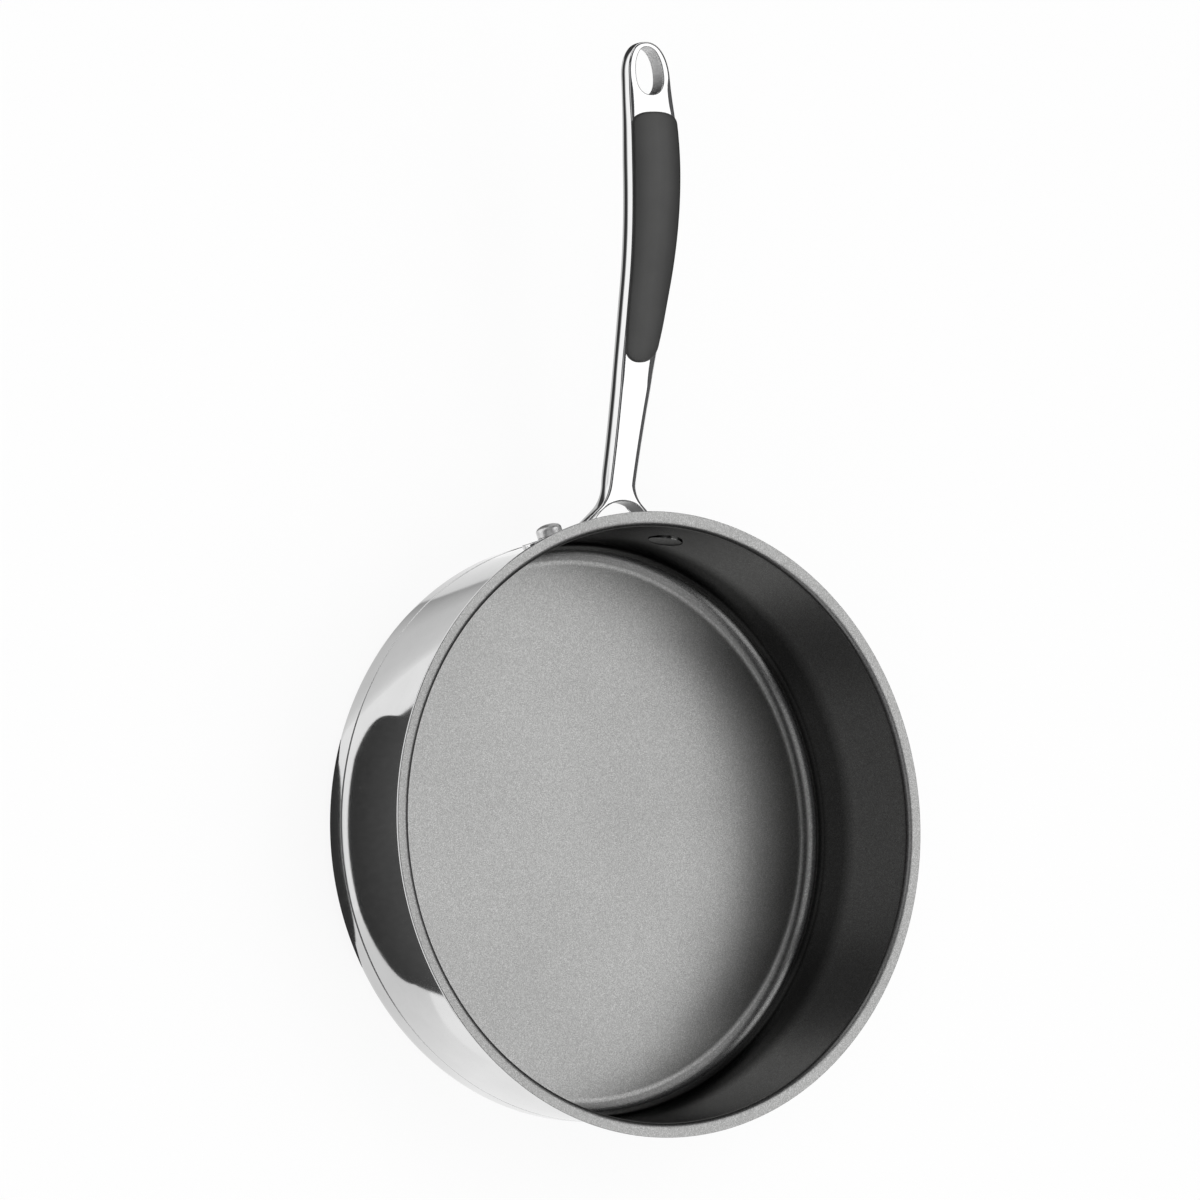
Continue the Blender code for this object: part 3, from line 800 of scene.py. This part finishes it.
def head_profile(radius, straight, rise, seat, way):
    """A domed head from its middle to its seat, where way is 1 outside and -1 inside."""
    points = []
    for step in range(DOME_STEPS + 1):
        angle = pi / 2 * step / DOME_STEPS
        points.append((radius * sin(angle), seat + way * (straight + rise * cos(angle) ** DOME_POWER)))
    points.append((radius, seat))
    return points


def make_rivet(name, side):
    radius, straight, rise = INNER_HEAD
    bow = radius ** 2 / (2 * wall_radius(RIVET_HEIGHT, 0.0))
    inner = head_profile(radius, straight + bow, rise, 0.0, -1)
    outer = head_profile(*OUTER_HEAD, FLANGE_OUTSIDE, 1)
    profile = inner + [(SHANK_RADIUS, 0.0), (SHANK_RADIUS, FLANGE_OUTSIDE)] + outer[::-1]
    piece = turned(name, profile, RIVET_STEPS)
    piece.data.transform(rivet_matrix(side))
    return piece


# Materials

class Graph:
    """A short way to write a material's nodes."""

    def __init__(self, name):
        self.material = bpy.data.materials.new(name)
        self.material.use_nodes = True
        self.nodes = self.material.node_tree.nodes
        self.links = self.material.node_tree.links
        self.shader = self.nodes["Principled BSDF"]
        self.output = self.nodes["Material Output"]
        self.coordinates = self.add("ShaderNodeTexCoord").outputs["Object"]

    def add(self, kind, **values):
        """A new node, with each value set on its property or its socket of that name."""
        node = self.nodes.new(kind)
        for key, value in values.items():
            if hasattr(node, key):
                setattr(node, key, value)
            else:
                self.set(node.inputs[key.replace("_", " ")], value)
        return node

    def set(self, socket, value):
        if isinstance(value, bpy.types.NodeSocket):
            self.links.new(value, socket)
        else:
            socket.default_value = value

    def scaled(self, scale):
        return self.add("ShaderNodeMapping", Vector=self.coordinates, Scale=scale).outputs["Vector"]

    def noise(self, scale, detail, roughness, vector=None):
        return self.add("ShaderNodeTexNoise", Vector=vector or self.coordinates, Scale=scale,
                        Detail=detail, Roughness=roughness).outputs["Fac"]

    def axes(self):
        return self.add("ShaderNodeSeparateXYZ", Vector=self.coordinates).outputs

    def share(self, value, low, high):
        """Where a value lies between a low and a high one."""
        return self.add("ShaderNodeMapRange", Value=value, From_Min=low, From_Max=high).outputs["Result"]

    def ramp(self, factor, stops):
        """A colour ramp over (position, grey or colour) stops."""
        node = self.add("ShaderNodeValToRGB", Fac=factor)
        ramp = node.color_ramp
        while len(ramp.elements) < len(stops):
            ramp.elements.new(0.5)
        for element, (position, value) in zip(ramp.elements, stops):
            element.position = position
            colour = value if isinstance(value, tuple) else (value, value, value)
            element.color = (*colour, 1.0)
        return node.outputs["Color"]

    def blend(self, factor, low, high):
        """A ramp from low to high over a noise's usual range."""
        return self.ramp(factor, [(0.3, low), (0.7, high)])

    def math(self, operation, first, second=0.0):
        node = self.add("ShaderNodeMath", operation=operation)
        self.set(node.inputs[0], first)
        self.set(node.inputs[1], second)
        return node.outputs[0]

    def mix(self, factor, first, second, way="MIX"):
        return self.add("ShaderNodeMix", data_type="RGBA", blend_type=way, Factor=factor,
                        A=first, B=second).outputs["Result"]

    def bump(self, height, strength, distance):
        return self.add("ShaderNodeBump", Height=height, Strength=strength,
                        Distance=distance).outputs["Normal"]

    def finish(self, **values):
        for key, value in values.items():
            self.set(self.shader.inputs[key.replace("_", " ")], value)
        return self.material


def polished_steel(name, low, high, gloss, turned_lines):
    """Mirror polish with faint smears and, on turned pieces, fine lines round the axis."""
    graph = Graph(name)
    smear = graph.noise(38.0, 4.0, 0.6)
    lines = graph.noise(1.0, 2.0, 0.6, graph.scaled(turned_lines))
    colour = graph.blend(smear, low, high)
    rough = graph.ramp(smear, [(0.3, gloss), (0.75, gloss * 1.7)])
    normal = graph.bump(lines, 0.05, 0.00002)
    return graph.finish(Base_Color=colour, Metallic=1.0, Roughness=rough, Normal=normal)


# Painted shade on the coating over the corner's zone, which dims the corner's highlight ring, and painted
# shade over the pan's height, darkest low on the wall and lighter towards the lip; and the coating's gloss
# over the pan's height
CORNER_ZONE = 0.0100
CORNER_SHADE_STOPS = [(0.005, 1.0), (0.03, 0.44), (0.10, 0.44), (0.17, 1.0)]
WALL_SHADE_STOPS = [(0.13, 1.0), (0.16, 0.28), (0.38, 0.28), (0.50, 0.70), (0.955, 0.70), (0.992, 1.0)]
GLOSS_STOPS = [(0.092, 1.0), (0.14, 0.5), (0.93, 0.5), (0.985, 1.0)]


def speckled_coating(name):
    """Dark nonstick with fine metallic flakes, darkened by painted shade in the corner and on the wall."""
    graph = Graph(name)
    fine = graph.noise(2400.0, 1.0, 0.6)
    coarse = graph.noise(900.0, 2.0, 0.6)
    cloud = graph.noise(14.0, 3.0, 0.5)
    speck = graph.math("ADD", graph.math("MULTIPLY", fine, 0.75), graph.math("MULTIPLY", coarse, 0.25))
    flakes = graph.ramp(speck, [(0.36, (0.31, 0.31, 0.305)), (0.52, (0.43, 0.43, 0.425)),
                                (0.66, (0.60, 0.60, 0.595))])
    height = graph.axes()["Z"]
    share = graph.math("DIVIDE", height, PAN_HEIGHT)
    above_floor = graph.math("DIVIDE", graph.math("SUBTRACT", height, FLOOR_HEIGHT), CORNER_ZONE)
    # Painted shade: the corner's ring and the wall are darkened against the floor's flakes
    painted_coating_shade = graph.math("MULTIPLY", graph.ramp(above_floor, CORNER_SHADE_STOPS), graph.ramp(share, WALL_SHADE_STOPS))
    colour = graph.mix(1.0, flakes, painted_coating_shade, "MULTIPLY")
    smooth = graph.ramp(share, GLOSS_STOPS)
    rough = graph.math("MULTIPLY", graph.blend(cloud, 0.30, 0.36), smooth)
    normal = graph.bump(speck, 0.25, 0.00004)
    return graph.finish(Base_Color=colour, Metallic=1.0, Roughness=rough, Normal=normal,
                        Specular_Tint=(0.35, 0.35, 0.35, 1.0))


def satin_steel(name, metallic, gloss, low, high, tone=None):
    """Cast steel that the polishing wheel doesn't reach; a tone of painted shade, when given, is multiplied
    over it.
    """
    graph = Graph(name)
    grain = graph.noise(1400.0, 3.0, 0.6)
    colour = graph.blend(grain, low, high)
    if tone:
        colour = graph.mix(1.0, colour, tone(graph), "MULTIPLY")
    normal = graph.bump(grain, 0.15, 0.00003)
    return graph.finish(Base_Color=colour, Metallic=metallic, Roughness=gloss, Normal=normal)


def hole_painted_shade(graph):
    """Painted shade inside the hole, darker towards the grip."""
    reach = graph.share(graph.axes()["X"], HOLE_MIDDLE - HOLE_LENGTH / 2, HOLE_MIDDLE + HOLE_LENGTH / 2)
    return graph.ramp(reach, [(0.0, 0.10), (0.15, 0.24), (0.32, 0.44), (0.52, 0.64), (0.72, 0.80),
                              (0.93, 0.98)])


def silicone(name):
    """Matte moulded silicone with a fine eroded texture, a little dust, and painted sheen that is lighter
    along the middle and darker towards the edges.
    """
    graph = Graph(name)
    grain = graph.noise(2600.0, 2.0, 0.6)
    cloud = graph.noise(60.0, 3.0, 0.5)
    edge = graph.math("DIVIDE", graph.math("ABSOLUTE", graph.axes()["Y"]), PALM_WIDTH / 2)
    # Painted sheen and shade: lighter along the grip's middle, darker towards its edges
    painted_sheen = graph.ramp(edge, [(0.0, 1.0), (0.38, 0.85), (0.8, 0.42), (0.95, 0.3)])
    dust = graph.blend(cloud, (0.048, 0.048, 0.047), (0.060, 0.060, 0.059))
    colour = graph.mix(1.0, dust, painted_sheen, "MULTIPLY")
    normal = graph.bump(grain, 0.35, 0.00004)
    rough = graph.blend(grain, 0.40, 0.52)
    return graph.finish(Base_Color=colour, Metallic=0.0, Roughness=rough, Normal=normal)


def rolled_aluminium(name):
    """Bare sheet with fine lines one way."""
    graph = Graph(name)
    lines = graph.noise(1.0, 3.0, 0.6, graph.scaled((60.0, 2200.0, 60.0)))
    colour = graph.blend(lines, 0.66, 0.80)
    rough = graph.blend(lines, 0.36, 0.52)
    normal = graph.bump(lines, 0.2, 0.00003)
    return graph.finish(Base_Color=colour, Metallic=1.0, Roughness=rough, Normal=normal)


def finish_inside(piece, material, is_inside):
    """Give another material to the faces that a test picks by centre and normal."""
    piece.data.materials.append(material)
    for face in piece.data.polygons:
        if is_inside(face.center, face.normal):
            face.material_index = len(piece.data.materials) - 1


# Limits that pick the faces inside the hole and the arch
STEEP = 0.75
BELOW_RIM = 0.0004
MIDDLE_BAND = 0.001
SLACK = 0.0002


def inward(centre, normal):
    """True for a steep face below the polished rims that looks at the handle's middle line."""
    below = face_height(centre.x - HANDLE_ROOT) - centre.z
    looks_in = normal.y * centre.y < 0 or abs(centre.y) < MIDDLE_BAND
    return abs(normal.z) < STEEP and below > BELOW_RIM and looks_in


def in_hole(centre, normal):
    end = HANDLE_ROOT + HANDLE_LENGTH - HOLE_END_WALL + SLACK
    if not end - HOLE_LENGTH - 2 * SLACK < centre.x < end:
        return False
    return abs(centre.y) < HOLE_WIDTH / 2 + 2 * SLACK and inward(centre, normal)


def in_arch(centre, normal):
    near = centre.x < HANDLE_ROOT + ARCH_REACH + SLACK and abs(centre.y) < ARCH_RADIUS
    return near and inward(centre, normal)


def assign(piece, *materials):
    piece.data.materials.clear()
    for material in materials:
        piece.data.materials.append(material)


def mount(piece, slot, *nodes):
    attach(piece, "root")
    if nodes:
        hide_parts(*nodes)


# Build the object

wall_steel = polished_steel("wall_steel", 0.68, 0.74, 0.055, (30.0, 30.0, 5200.0))
cap_steel = polished_steel("cap_steel", 0.68, 0.74, 0.075, (30.0, 30.0, 4200.0))
# The hole's inner faces carry painted shade, darker towards the grip
hole_steel = satin_steel("satin_steel", 0.35, 0.36, 0.90, 1.0, hole_painted_shade)
# The arch's inner faces: satin steel with its base colour darkened to 0.22 as painted shade in the recess
arch_steel = satin_steel("arch_painted_shade_steel", 1.0, 0.24, 0.22 * 0.92, 0.22 * 1.08)
cast_steel = polished_steel("cast_steel", 0.88, 0.93, 0.045, (500.0, 2400.0, 500.0))
rivet_steel = polished_steel("rivet_steel", 0.80, 0.88, 0.30, (900.0, 900.0, 900.0))
coating = speckled_coating("speckled_coating")
rubber = silicone("matte_silicone")
core_metal = rolled_aluminium("core_aluminium")

pan_body, pan_lining, pan_cap = make_pan_pieces()
assign(pan_body, wall_steel)
assign(pan_lining, coating)
assign(pan_cap, cap_steel)
mount(pan_body, "body_shell", "body_shell")
mount(pan_lining, "nonstick_lining", "nonstick_lining")
mount(pan_cap, "base_cap", "base_cap")
assign(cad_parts["base_core"], core_metal)

handle_bar = make_handle()
handle_flange = make_flange()
assign(handle_bar, cast_steel)
assign(handle_flange, cast_steel)
mount(handle_bar, "handle", "handle")
mount(handle_flange, "handle", "handle")
finish_inside(handle_bar, hole_steel, in_hole)
finish_inside(handle_bar, arch_steel, in_arch)

grip = make_grip()
assign(grip, rubber)
mount(grip, "grip_insert", "grip_insert")

for rivet_name, rivet_side in (("rivet_left", 1), ("rivet_right", -1)):
    rivet = make_rivet(rivet_name + "_fine", rivet_side)
    assign(rivet, rivet_steel, coating)
    for face in rivet.data.polygons:
        reach = sqrt(face.center.x ** 2 + face.center.y ** 2)
        face.material_index = 1 if reach < wall_radius(face.center.z, 0.0) + COATING / 2 else 0
    mount(rivet, rivet_name, rivet_name)


# Floor and cards; each sheet has a height of its own where it meets another

SHADE_LEVEL = 0.0004
UNDER_LEVEL = 0.0005
CARD_LEVEL = 0.0006
TIP_LEVEL = 0.0007
FLOOR_HALF = 3.0
SHADOW_LIFT = 0.90


def flat_sheet(name, points, height, material):
    sheet = new_piece(name, [(x, y, height) for x, y in points], [list(range(len(points)))])
    assign(sheet, material)
    return sheet


def add_card(name, points, height, material):
    """A sheet that only reflections show."""
    card = flat_sheet(name, points, height, material)
    for ray in ("camera", "diffuse", "shadow", "transmission", "volume_scatter"):
        setattr(card, "visible_" + ray, False)


def floor_material():
    """Pale floor that is white in reflections and has its shadows lifted for the camera."""
    graph = Graph("pale_floor")
    cloud = graph.noise(3.0, 2.0, 0.5)
    graph.finish(Base_Color=graph.blend(cloud, 0.96, 0.98), Roughness=0.9)
    glow = graph.add("ShaderNodeEmission", Color=(1.0, 1.0, 1.0, 1.0), Strength=1.0)
    path = graph.add("ShaderNodeLightPath")
    seen = graph.math("MULTIPLY", path.outputs["Is Camera Ray"], SHADOW_LIFT)
    both = graph.add("ShaderNodeMixShader")
    graph.set(both.inputs[0], graph.math("MAXIMUM", path.outputs["Is Glossy Ray"], seen))
    graph.set(both.inputs[1], graph.shader.outputs[0])
    graph.set(both.inputs[2], glow.outputs[0])
    graph.set(graph.output.inputs["Surface"], both.outputs[0])
    return graph.material


def card_material(name, measure, low, high, stops):
    """A glow for reflections that changes with a measure of the place, made by a function."""
    graph = Graph(name)
    share = graph.share(measure(graph, graph.axes()), low, high)
    tone = graph.ramp(share, [((at - low) / (high - low), value) for at, value in stops])
    weave = graph.blend(graph.noise(300.0, 2.0, 0.5), 0.0, 0.1)
    glow = graph.add("ShaderNodeEmission", Color=graph.mix(0.08, tone, weave), Strength=1.0)
    graph.set(graph.output.inputs["Surface"], glow.outputs[0])
    return graph.material


def from_axis(graph, place):
    """Distance from the pan's axis."""
    square = graph.math("ADD", graph.math("POWER", place["X"], 2.0), graph.math("POWER", place["Y"], 2.0))
    return graph.math("SQRT", square)


# The handle's height over the floor against x: a rising line, then a falling one
RISE_SLOPE = 0.42
RISE_DROP = 0.009
CREST_LEVEL = 0.112
CREST_SLOPE = 0.08


def beside_handle(graph, place):
    """Distance to the side of the handle's middle over the handle's height there."""
    rise = graph.math("SUBTRACT", graph.math("MULTIPLY", place["X"], RISE_SLOPE), RISE_DROP)
    crest = graph.math("SUBTRACT", CREST_LEVEL, graph.math("MULTIPLY", place["X"], CREST_SLOPE))
    return graph.math("DIVIDE", place["Y"], graph.math("MINIMUM", rise, crest))


def floor_point(radius, azimuth):
    """A point on the floor round the pan's axis, at an azimuth in degrees."""
    return (radius * cos(radians(azimuth)), radius * sin(radians(azimuth)))


def arc_points(radius, start, end, steps):
    return [floor_point(radius, start + (end - start) * step / steps) for step in range(steps + 1)]


floor_corners = [(x * FLOOR_HALF, y * FLOOR_HALF) for x, y in ((-1, -1), (1, -1), (1, 1), (-1, 1))]
flat_sheet("floor", floor_corners, 0.0, floor_material())

# The wall's dark card: to each side its half angle has a least value, a gain over a run of
# millimetres, and a flare from a start with a power
CARD_STEPS = 24
CARD_MIDDLE = 90.0
WALL_CARD_INNER = 0.1288
WALL_CARD_OUTER = 0.1600
WALL_CARD_CROWDING = 1.6
WALL_CARD_ENDS = (104.0, 72.0)
CARD_SPREADS = {1: (18.5, 11.0, 2.6, 14, 1.2), -1: (14.5, 20.0, 2.8, 9, 1.0)}
CARD_DECAY = 2.72
CARD_FLARE = 0.50


def card_spread(radius, side):
    """Half the angle that the wall's card covers, in degrees, at a distance from the axis."""
    least, gain, run, flare_start, flare_power = CARD_SPREADS[side]
    out = (radius - WALL_CARD_INNER) * MM
    flare = CARD_FLARE * max(out - flare_start, 0) ** flare_power
    return least + gain * (1 - CARD_DECAY ** (-out / run)) + flare


def card_side(side):
    points = []
    for step in range(CARD_STEPS + 1):
        share = (step / CARD_STEPS) ** WALL_CARD_CROWDING
        reach = WALL_CARD_INNER + (WALL_CARD_OUTER - WALL_CARD_INNER) * share
        points.append(floor_point(reach, CARD_MIDDLE - side * card_spread(reach, side)))
    return points


outer_start = CARD_MIDDLE - card_spread(WALL_CARD_OUTER, 1)
outer_end = CARD_MIDDLE + card_spread(WALL_CARD_OUTER, -1)
wall_card = card_side(1) + arc_points(WALL_CARD_OUTER, outer_start, outer_end, CARD_STEPS)[1:-1]
wall_card += card_side(-1)[::-1] + arc_points(WALL_CARD_INNER, *WALL_CARD_ENDS, CARD_STEPS)[1:-1]
add_card("card_wall", wall_card, CARD_LEVEL,
         card_material("dark_wall_card", from_axis, 0.12, 0.19, [(0.128, 0.035), (0.160, 0.11)]))

# The dark card under the base's edge, with rounded ends
UNDER_MIDDLE = 92.0
UNDER_SPREAD = 23.5
UNDER_OUTER = 0.1264
UNDER_INNER = 0.085
UNDER_ROUND = 0.009
UNDER_POWER = 4
under_card = []
for step in range(CARD_STEPS + 1):
    share = 2 * step / CARD_STEPS - 1
    reach = UNDER_OUTER - UNDER_ROUND * share ** UNDER_POWER
    under_card.append(floor_point(reach, UNDER_MIDDLE + UNDER_SPREAD * share))
under_card += arc_points(UNDER_INNER, UNDER_MIDDLE + UNDER_SPREAD, UNDER_MIDDLE - UNDER_SPREAD, CARD_STEPS)
add_card("card_under", under_card, UNDER_LEVEL,
         card_material("dark_under_card", from_axis, 0.08, 0.13, [(0.09, 0.03), (0.12, 0.04)]))

HANDLE_STRIP = [(0.128, -2.90), (1.40, -2.90), (0.55, -0.26), (0.55, 0.055), (0.40, 0.075),
                (0.30, 0.090), (0.143, 0.052), (0.128, 0.045)]
add_card("card_handle", HANDLE_STRIP, CARD_LEVEL,
         card_material("dark_handle_card", beside_handle, -3.0, 1.0,
                       [(-0.85, 0.04), (-0.74, 0.55), (0.09, 0.55), (0.20, 0.04),
                        (0.62, 0.035), (0.76, 0.40), (0.90, 1.0)]))

TIP_CARD = [(0.335, -0.12), (0.45, -0.12), (0.45, 0.03), (0.335, 0.03)]
add_card("card_tip", TIP_CARD, TIP_LEVEL,
         card_material("dark_tip_card", from_axis, 0.30, 0.50, [(0.33, 0.035), (0.45, 0.04)]))

SHADE_RADIUS = 0.1229
SHADE_INNER = 0.112
SHADE_REACH = 0.060
SHADE_STEPS = 12


def shade(name, stops, turn):
    """A soft grey patch of floor for the wall's reflection, from one azimuth to another."""
    outline = []
    for edge, order in ((stops[0][0], range(SHADE_STEPS + 1)), (stops[-1][0], range(SHADE_STEPS, -1, -1))):
        for step in order:
            reach = SHADE_INNER + SHADE_REACH * step / SHADE_STEPS
            outline.append(floor_point(reach, edge - (reach - SHADE_RADIUS) * turn))

    def slanted_way_round(graph, place):
        """Azimuth in degrees, plus a turn that grows with the distance from the axis."""
        azimuth = graph.math("MULTIPLY", graph.math("ARCTAN2", place["Y"], place["X"]), 180 / pi)
        out = graph.math("SUBTRACT", from_axis(graph, place), SHADE_RADIUS)
        return graph.math("ADD", azimuth, graph.math("MULTIPLY", out, turn))

    add_card(name, outline, SHADE_LEVEL,
             card_material(name, slanted_way_round, stops[0][0], stops[-1][0], stops))


shade("card_shade_front", [(12.0, 1.0), (31.0, 0.80), (32.0, 0.38), (36.0, 0.50), (44.0, 0.68),
                           (57.0, 0.75), (62.0, 0.82), (66.0, 1.0)], 1130.0)
shade("card_shade_back", [(104.0, 1.0), (112.0, 0.84), (122.0, 0.82), (135.0, 0.92), (150.0, 1.06),
                          (178.0, 1.0)], 0.0)


# Lamps: name, place, aim, width, height, watts, and whether reflections show it

LAMPS = [
    ("softbox", (0.0, -0.95, 1.95), (0.05, 0.0, 0.05), 5.2, 1.85, 34.0, True),
    ("low_box", (0.0, -2.6, 1.2), (0.0, 0.0, 0.1), 5.0, 1.0, 0.6, True),
    ("front_box", (0.0, 2.0, 2.5), (0.0, 0.0, 0.0), 4.0, 1.8, 8.0, True),
    ("end_box_far", (2.3, 1.0, 1.15), (0.0, 0.0, 0.0), 1.3, 1.2, 2.6, True),
    ("end_box_near", (-2.3, 1.0, 1.15), (0.0, 0.0, 0.0), 1.3, 1.2, 2.6, True),
    ("fill_top", (0.3, 0.5, 2.6), (0.0, 0.0, 0.0), 3.0, 3.0, 42.0, False),
    ("fill_side", (-1.6, 1.4, 1.4), (0.0, 0.0, 0.05), 1.6, 1.6, 8.0, False),
]


def area_lamp(name, place, aim, width, height, watts, reflected):
    data = bpy.data.lights.new(name, "AREA")
    data.shape = "RECTANGLE"
    data.size = width
    data.size_y = height
    data.energy = watts
    lamp = bpy.data.objects.new(name, data)
    bpy.context.scene.collection.objects.link(lamp)
    away = (Vector(aim) - Vector(place)).normalized()
    lamp.matrix_world = Matrix.Translation(place) @ away.to_track_quat("-Z", "Y").to_matrix().to_4x4()
    lamp.visible_camera = False
    lamp.visible_glossy = reflected


for lamp_values in LAMPS:
    area_lamp(*lamp_values)

# World: a pale backdrop for the camera, and a dim room for everything else

world = bpy.data.worlds.new("studio")
bpy.context.scene.world = world
world.use_nodes = True
nodes = world.node_tree.nodes
links = world.node_tree.links
backdrop = nodes["Background"]
backdrop.inputs["Color"].default_value = (0.94, 0.94, 0.94, 1.0)
backdrop.inputs["Strength"].default_value = 1.0
room = nodes.new("ShaderNodeBackground")
room.inputs["Color"].default_value = (0.06, 0.06, 0.062, 1.0)
path = nodes.new("ShaderNodeLightPath")
blend = nodes.new("ShaderNodeMixShader")
links.new(path.outputs["Is Camera Ray"], blend.inputs[0])
links.new(room.outputs[0], blend.inputs[1])
links.new(backdrop.outputs[0], blend.inputs[2])
links.new(blend.outputs[0], nodes["World Output"].inputs["Surface"])

# Camera, fitted to the photograph

LENS = 240.0
SENSOR = 36.0
CAMERA_PLACE = Vector((-0.0375, 1.7829, 2.7466))
CAMERA_RIGHT = Vector((-0.0679, -0.8351, 0.5458))
CAMERA_AHEAD = Vector((0.0401, -0.5489, -0.8349))
CAMERA_ROLL = radians(0.13)
SHIFT_LEFT = 0.00023
SHIFT_DOWN = 0.00011

camera_data = bpy.data.cameras.new("camera")
camera_data.lens = LENS
camera_data.sensor_width = SENSOR
camera_data.clip_end = 60.0
camera = bpy.data.objects.new("camera", camera_data)
bpy.context.scene.collection.objects.link(camera)
ahead = CAMERA_AHEAD.normalized()
up = CAMERA_RIGHT.normalized().cross(ahead).normalized()
right = ahead.cross(up)
basis = Matrix((right, up, -ahead)).transposed().to_4x4()
place = CAMERA_PLACE - right * SHIFT_LEFT - up * SHIFT_DOWN
camera.matrix_world = Matrix.Translation(place) @ basis @ Matrix.Rotation(CAMERA_ROLL, 4, "Z")
bpy.context.scene.camera = camera

bpy.context.scene.view_settings.view_transform = "Standard"
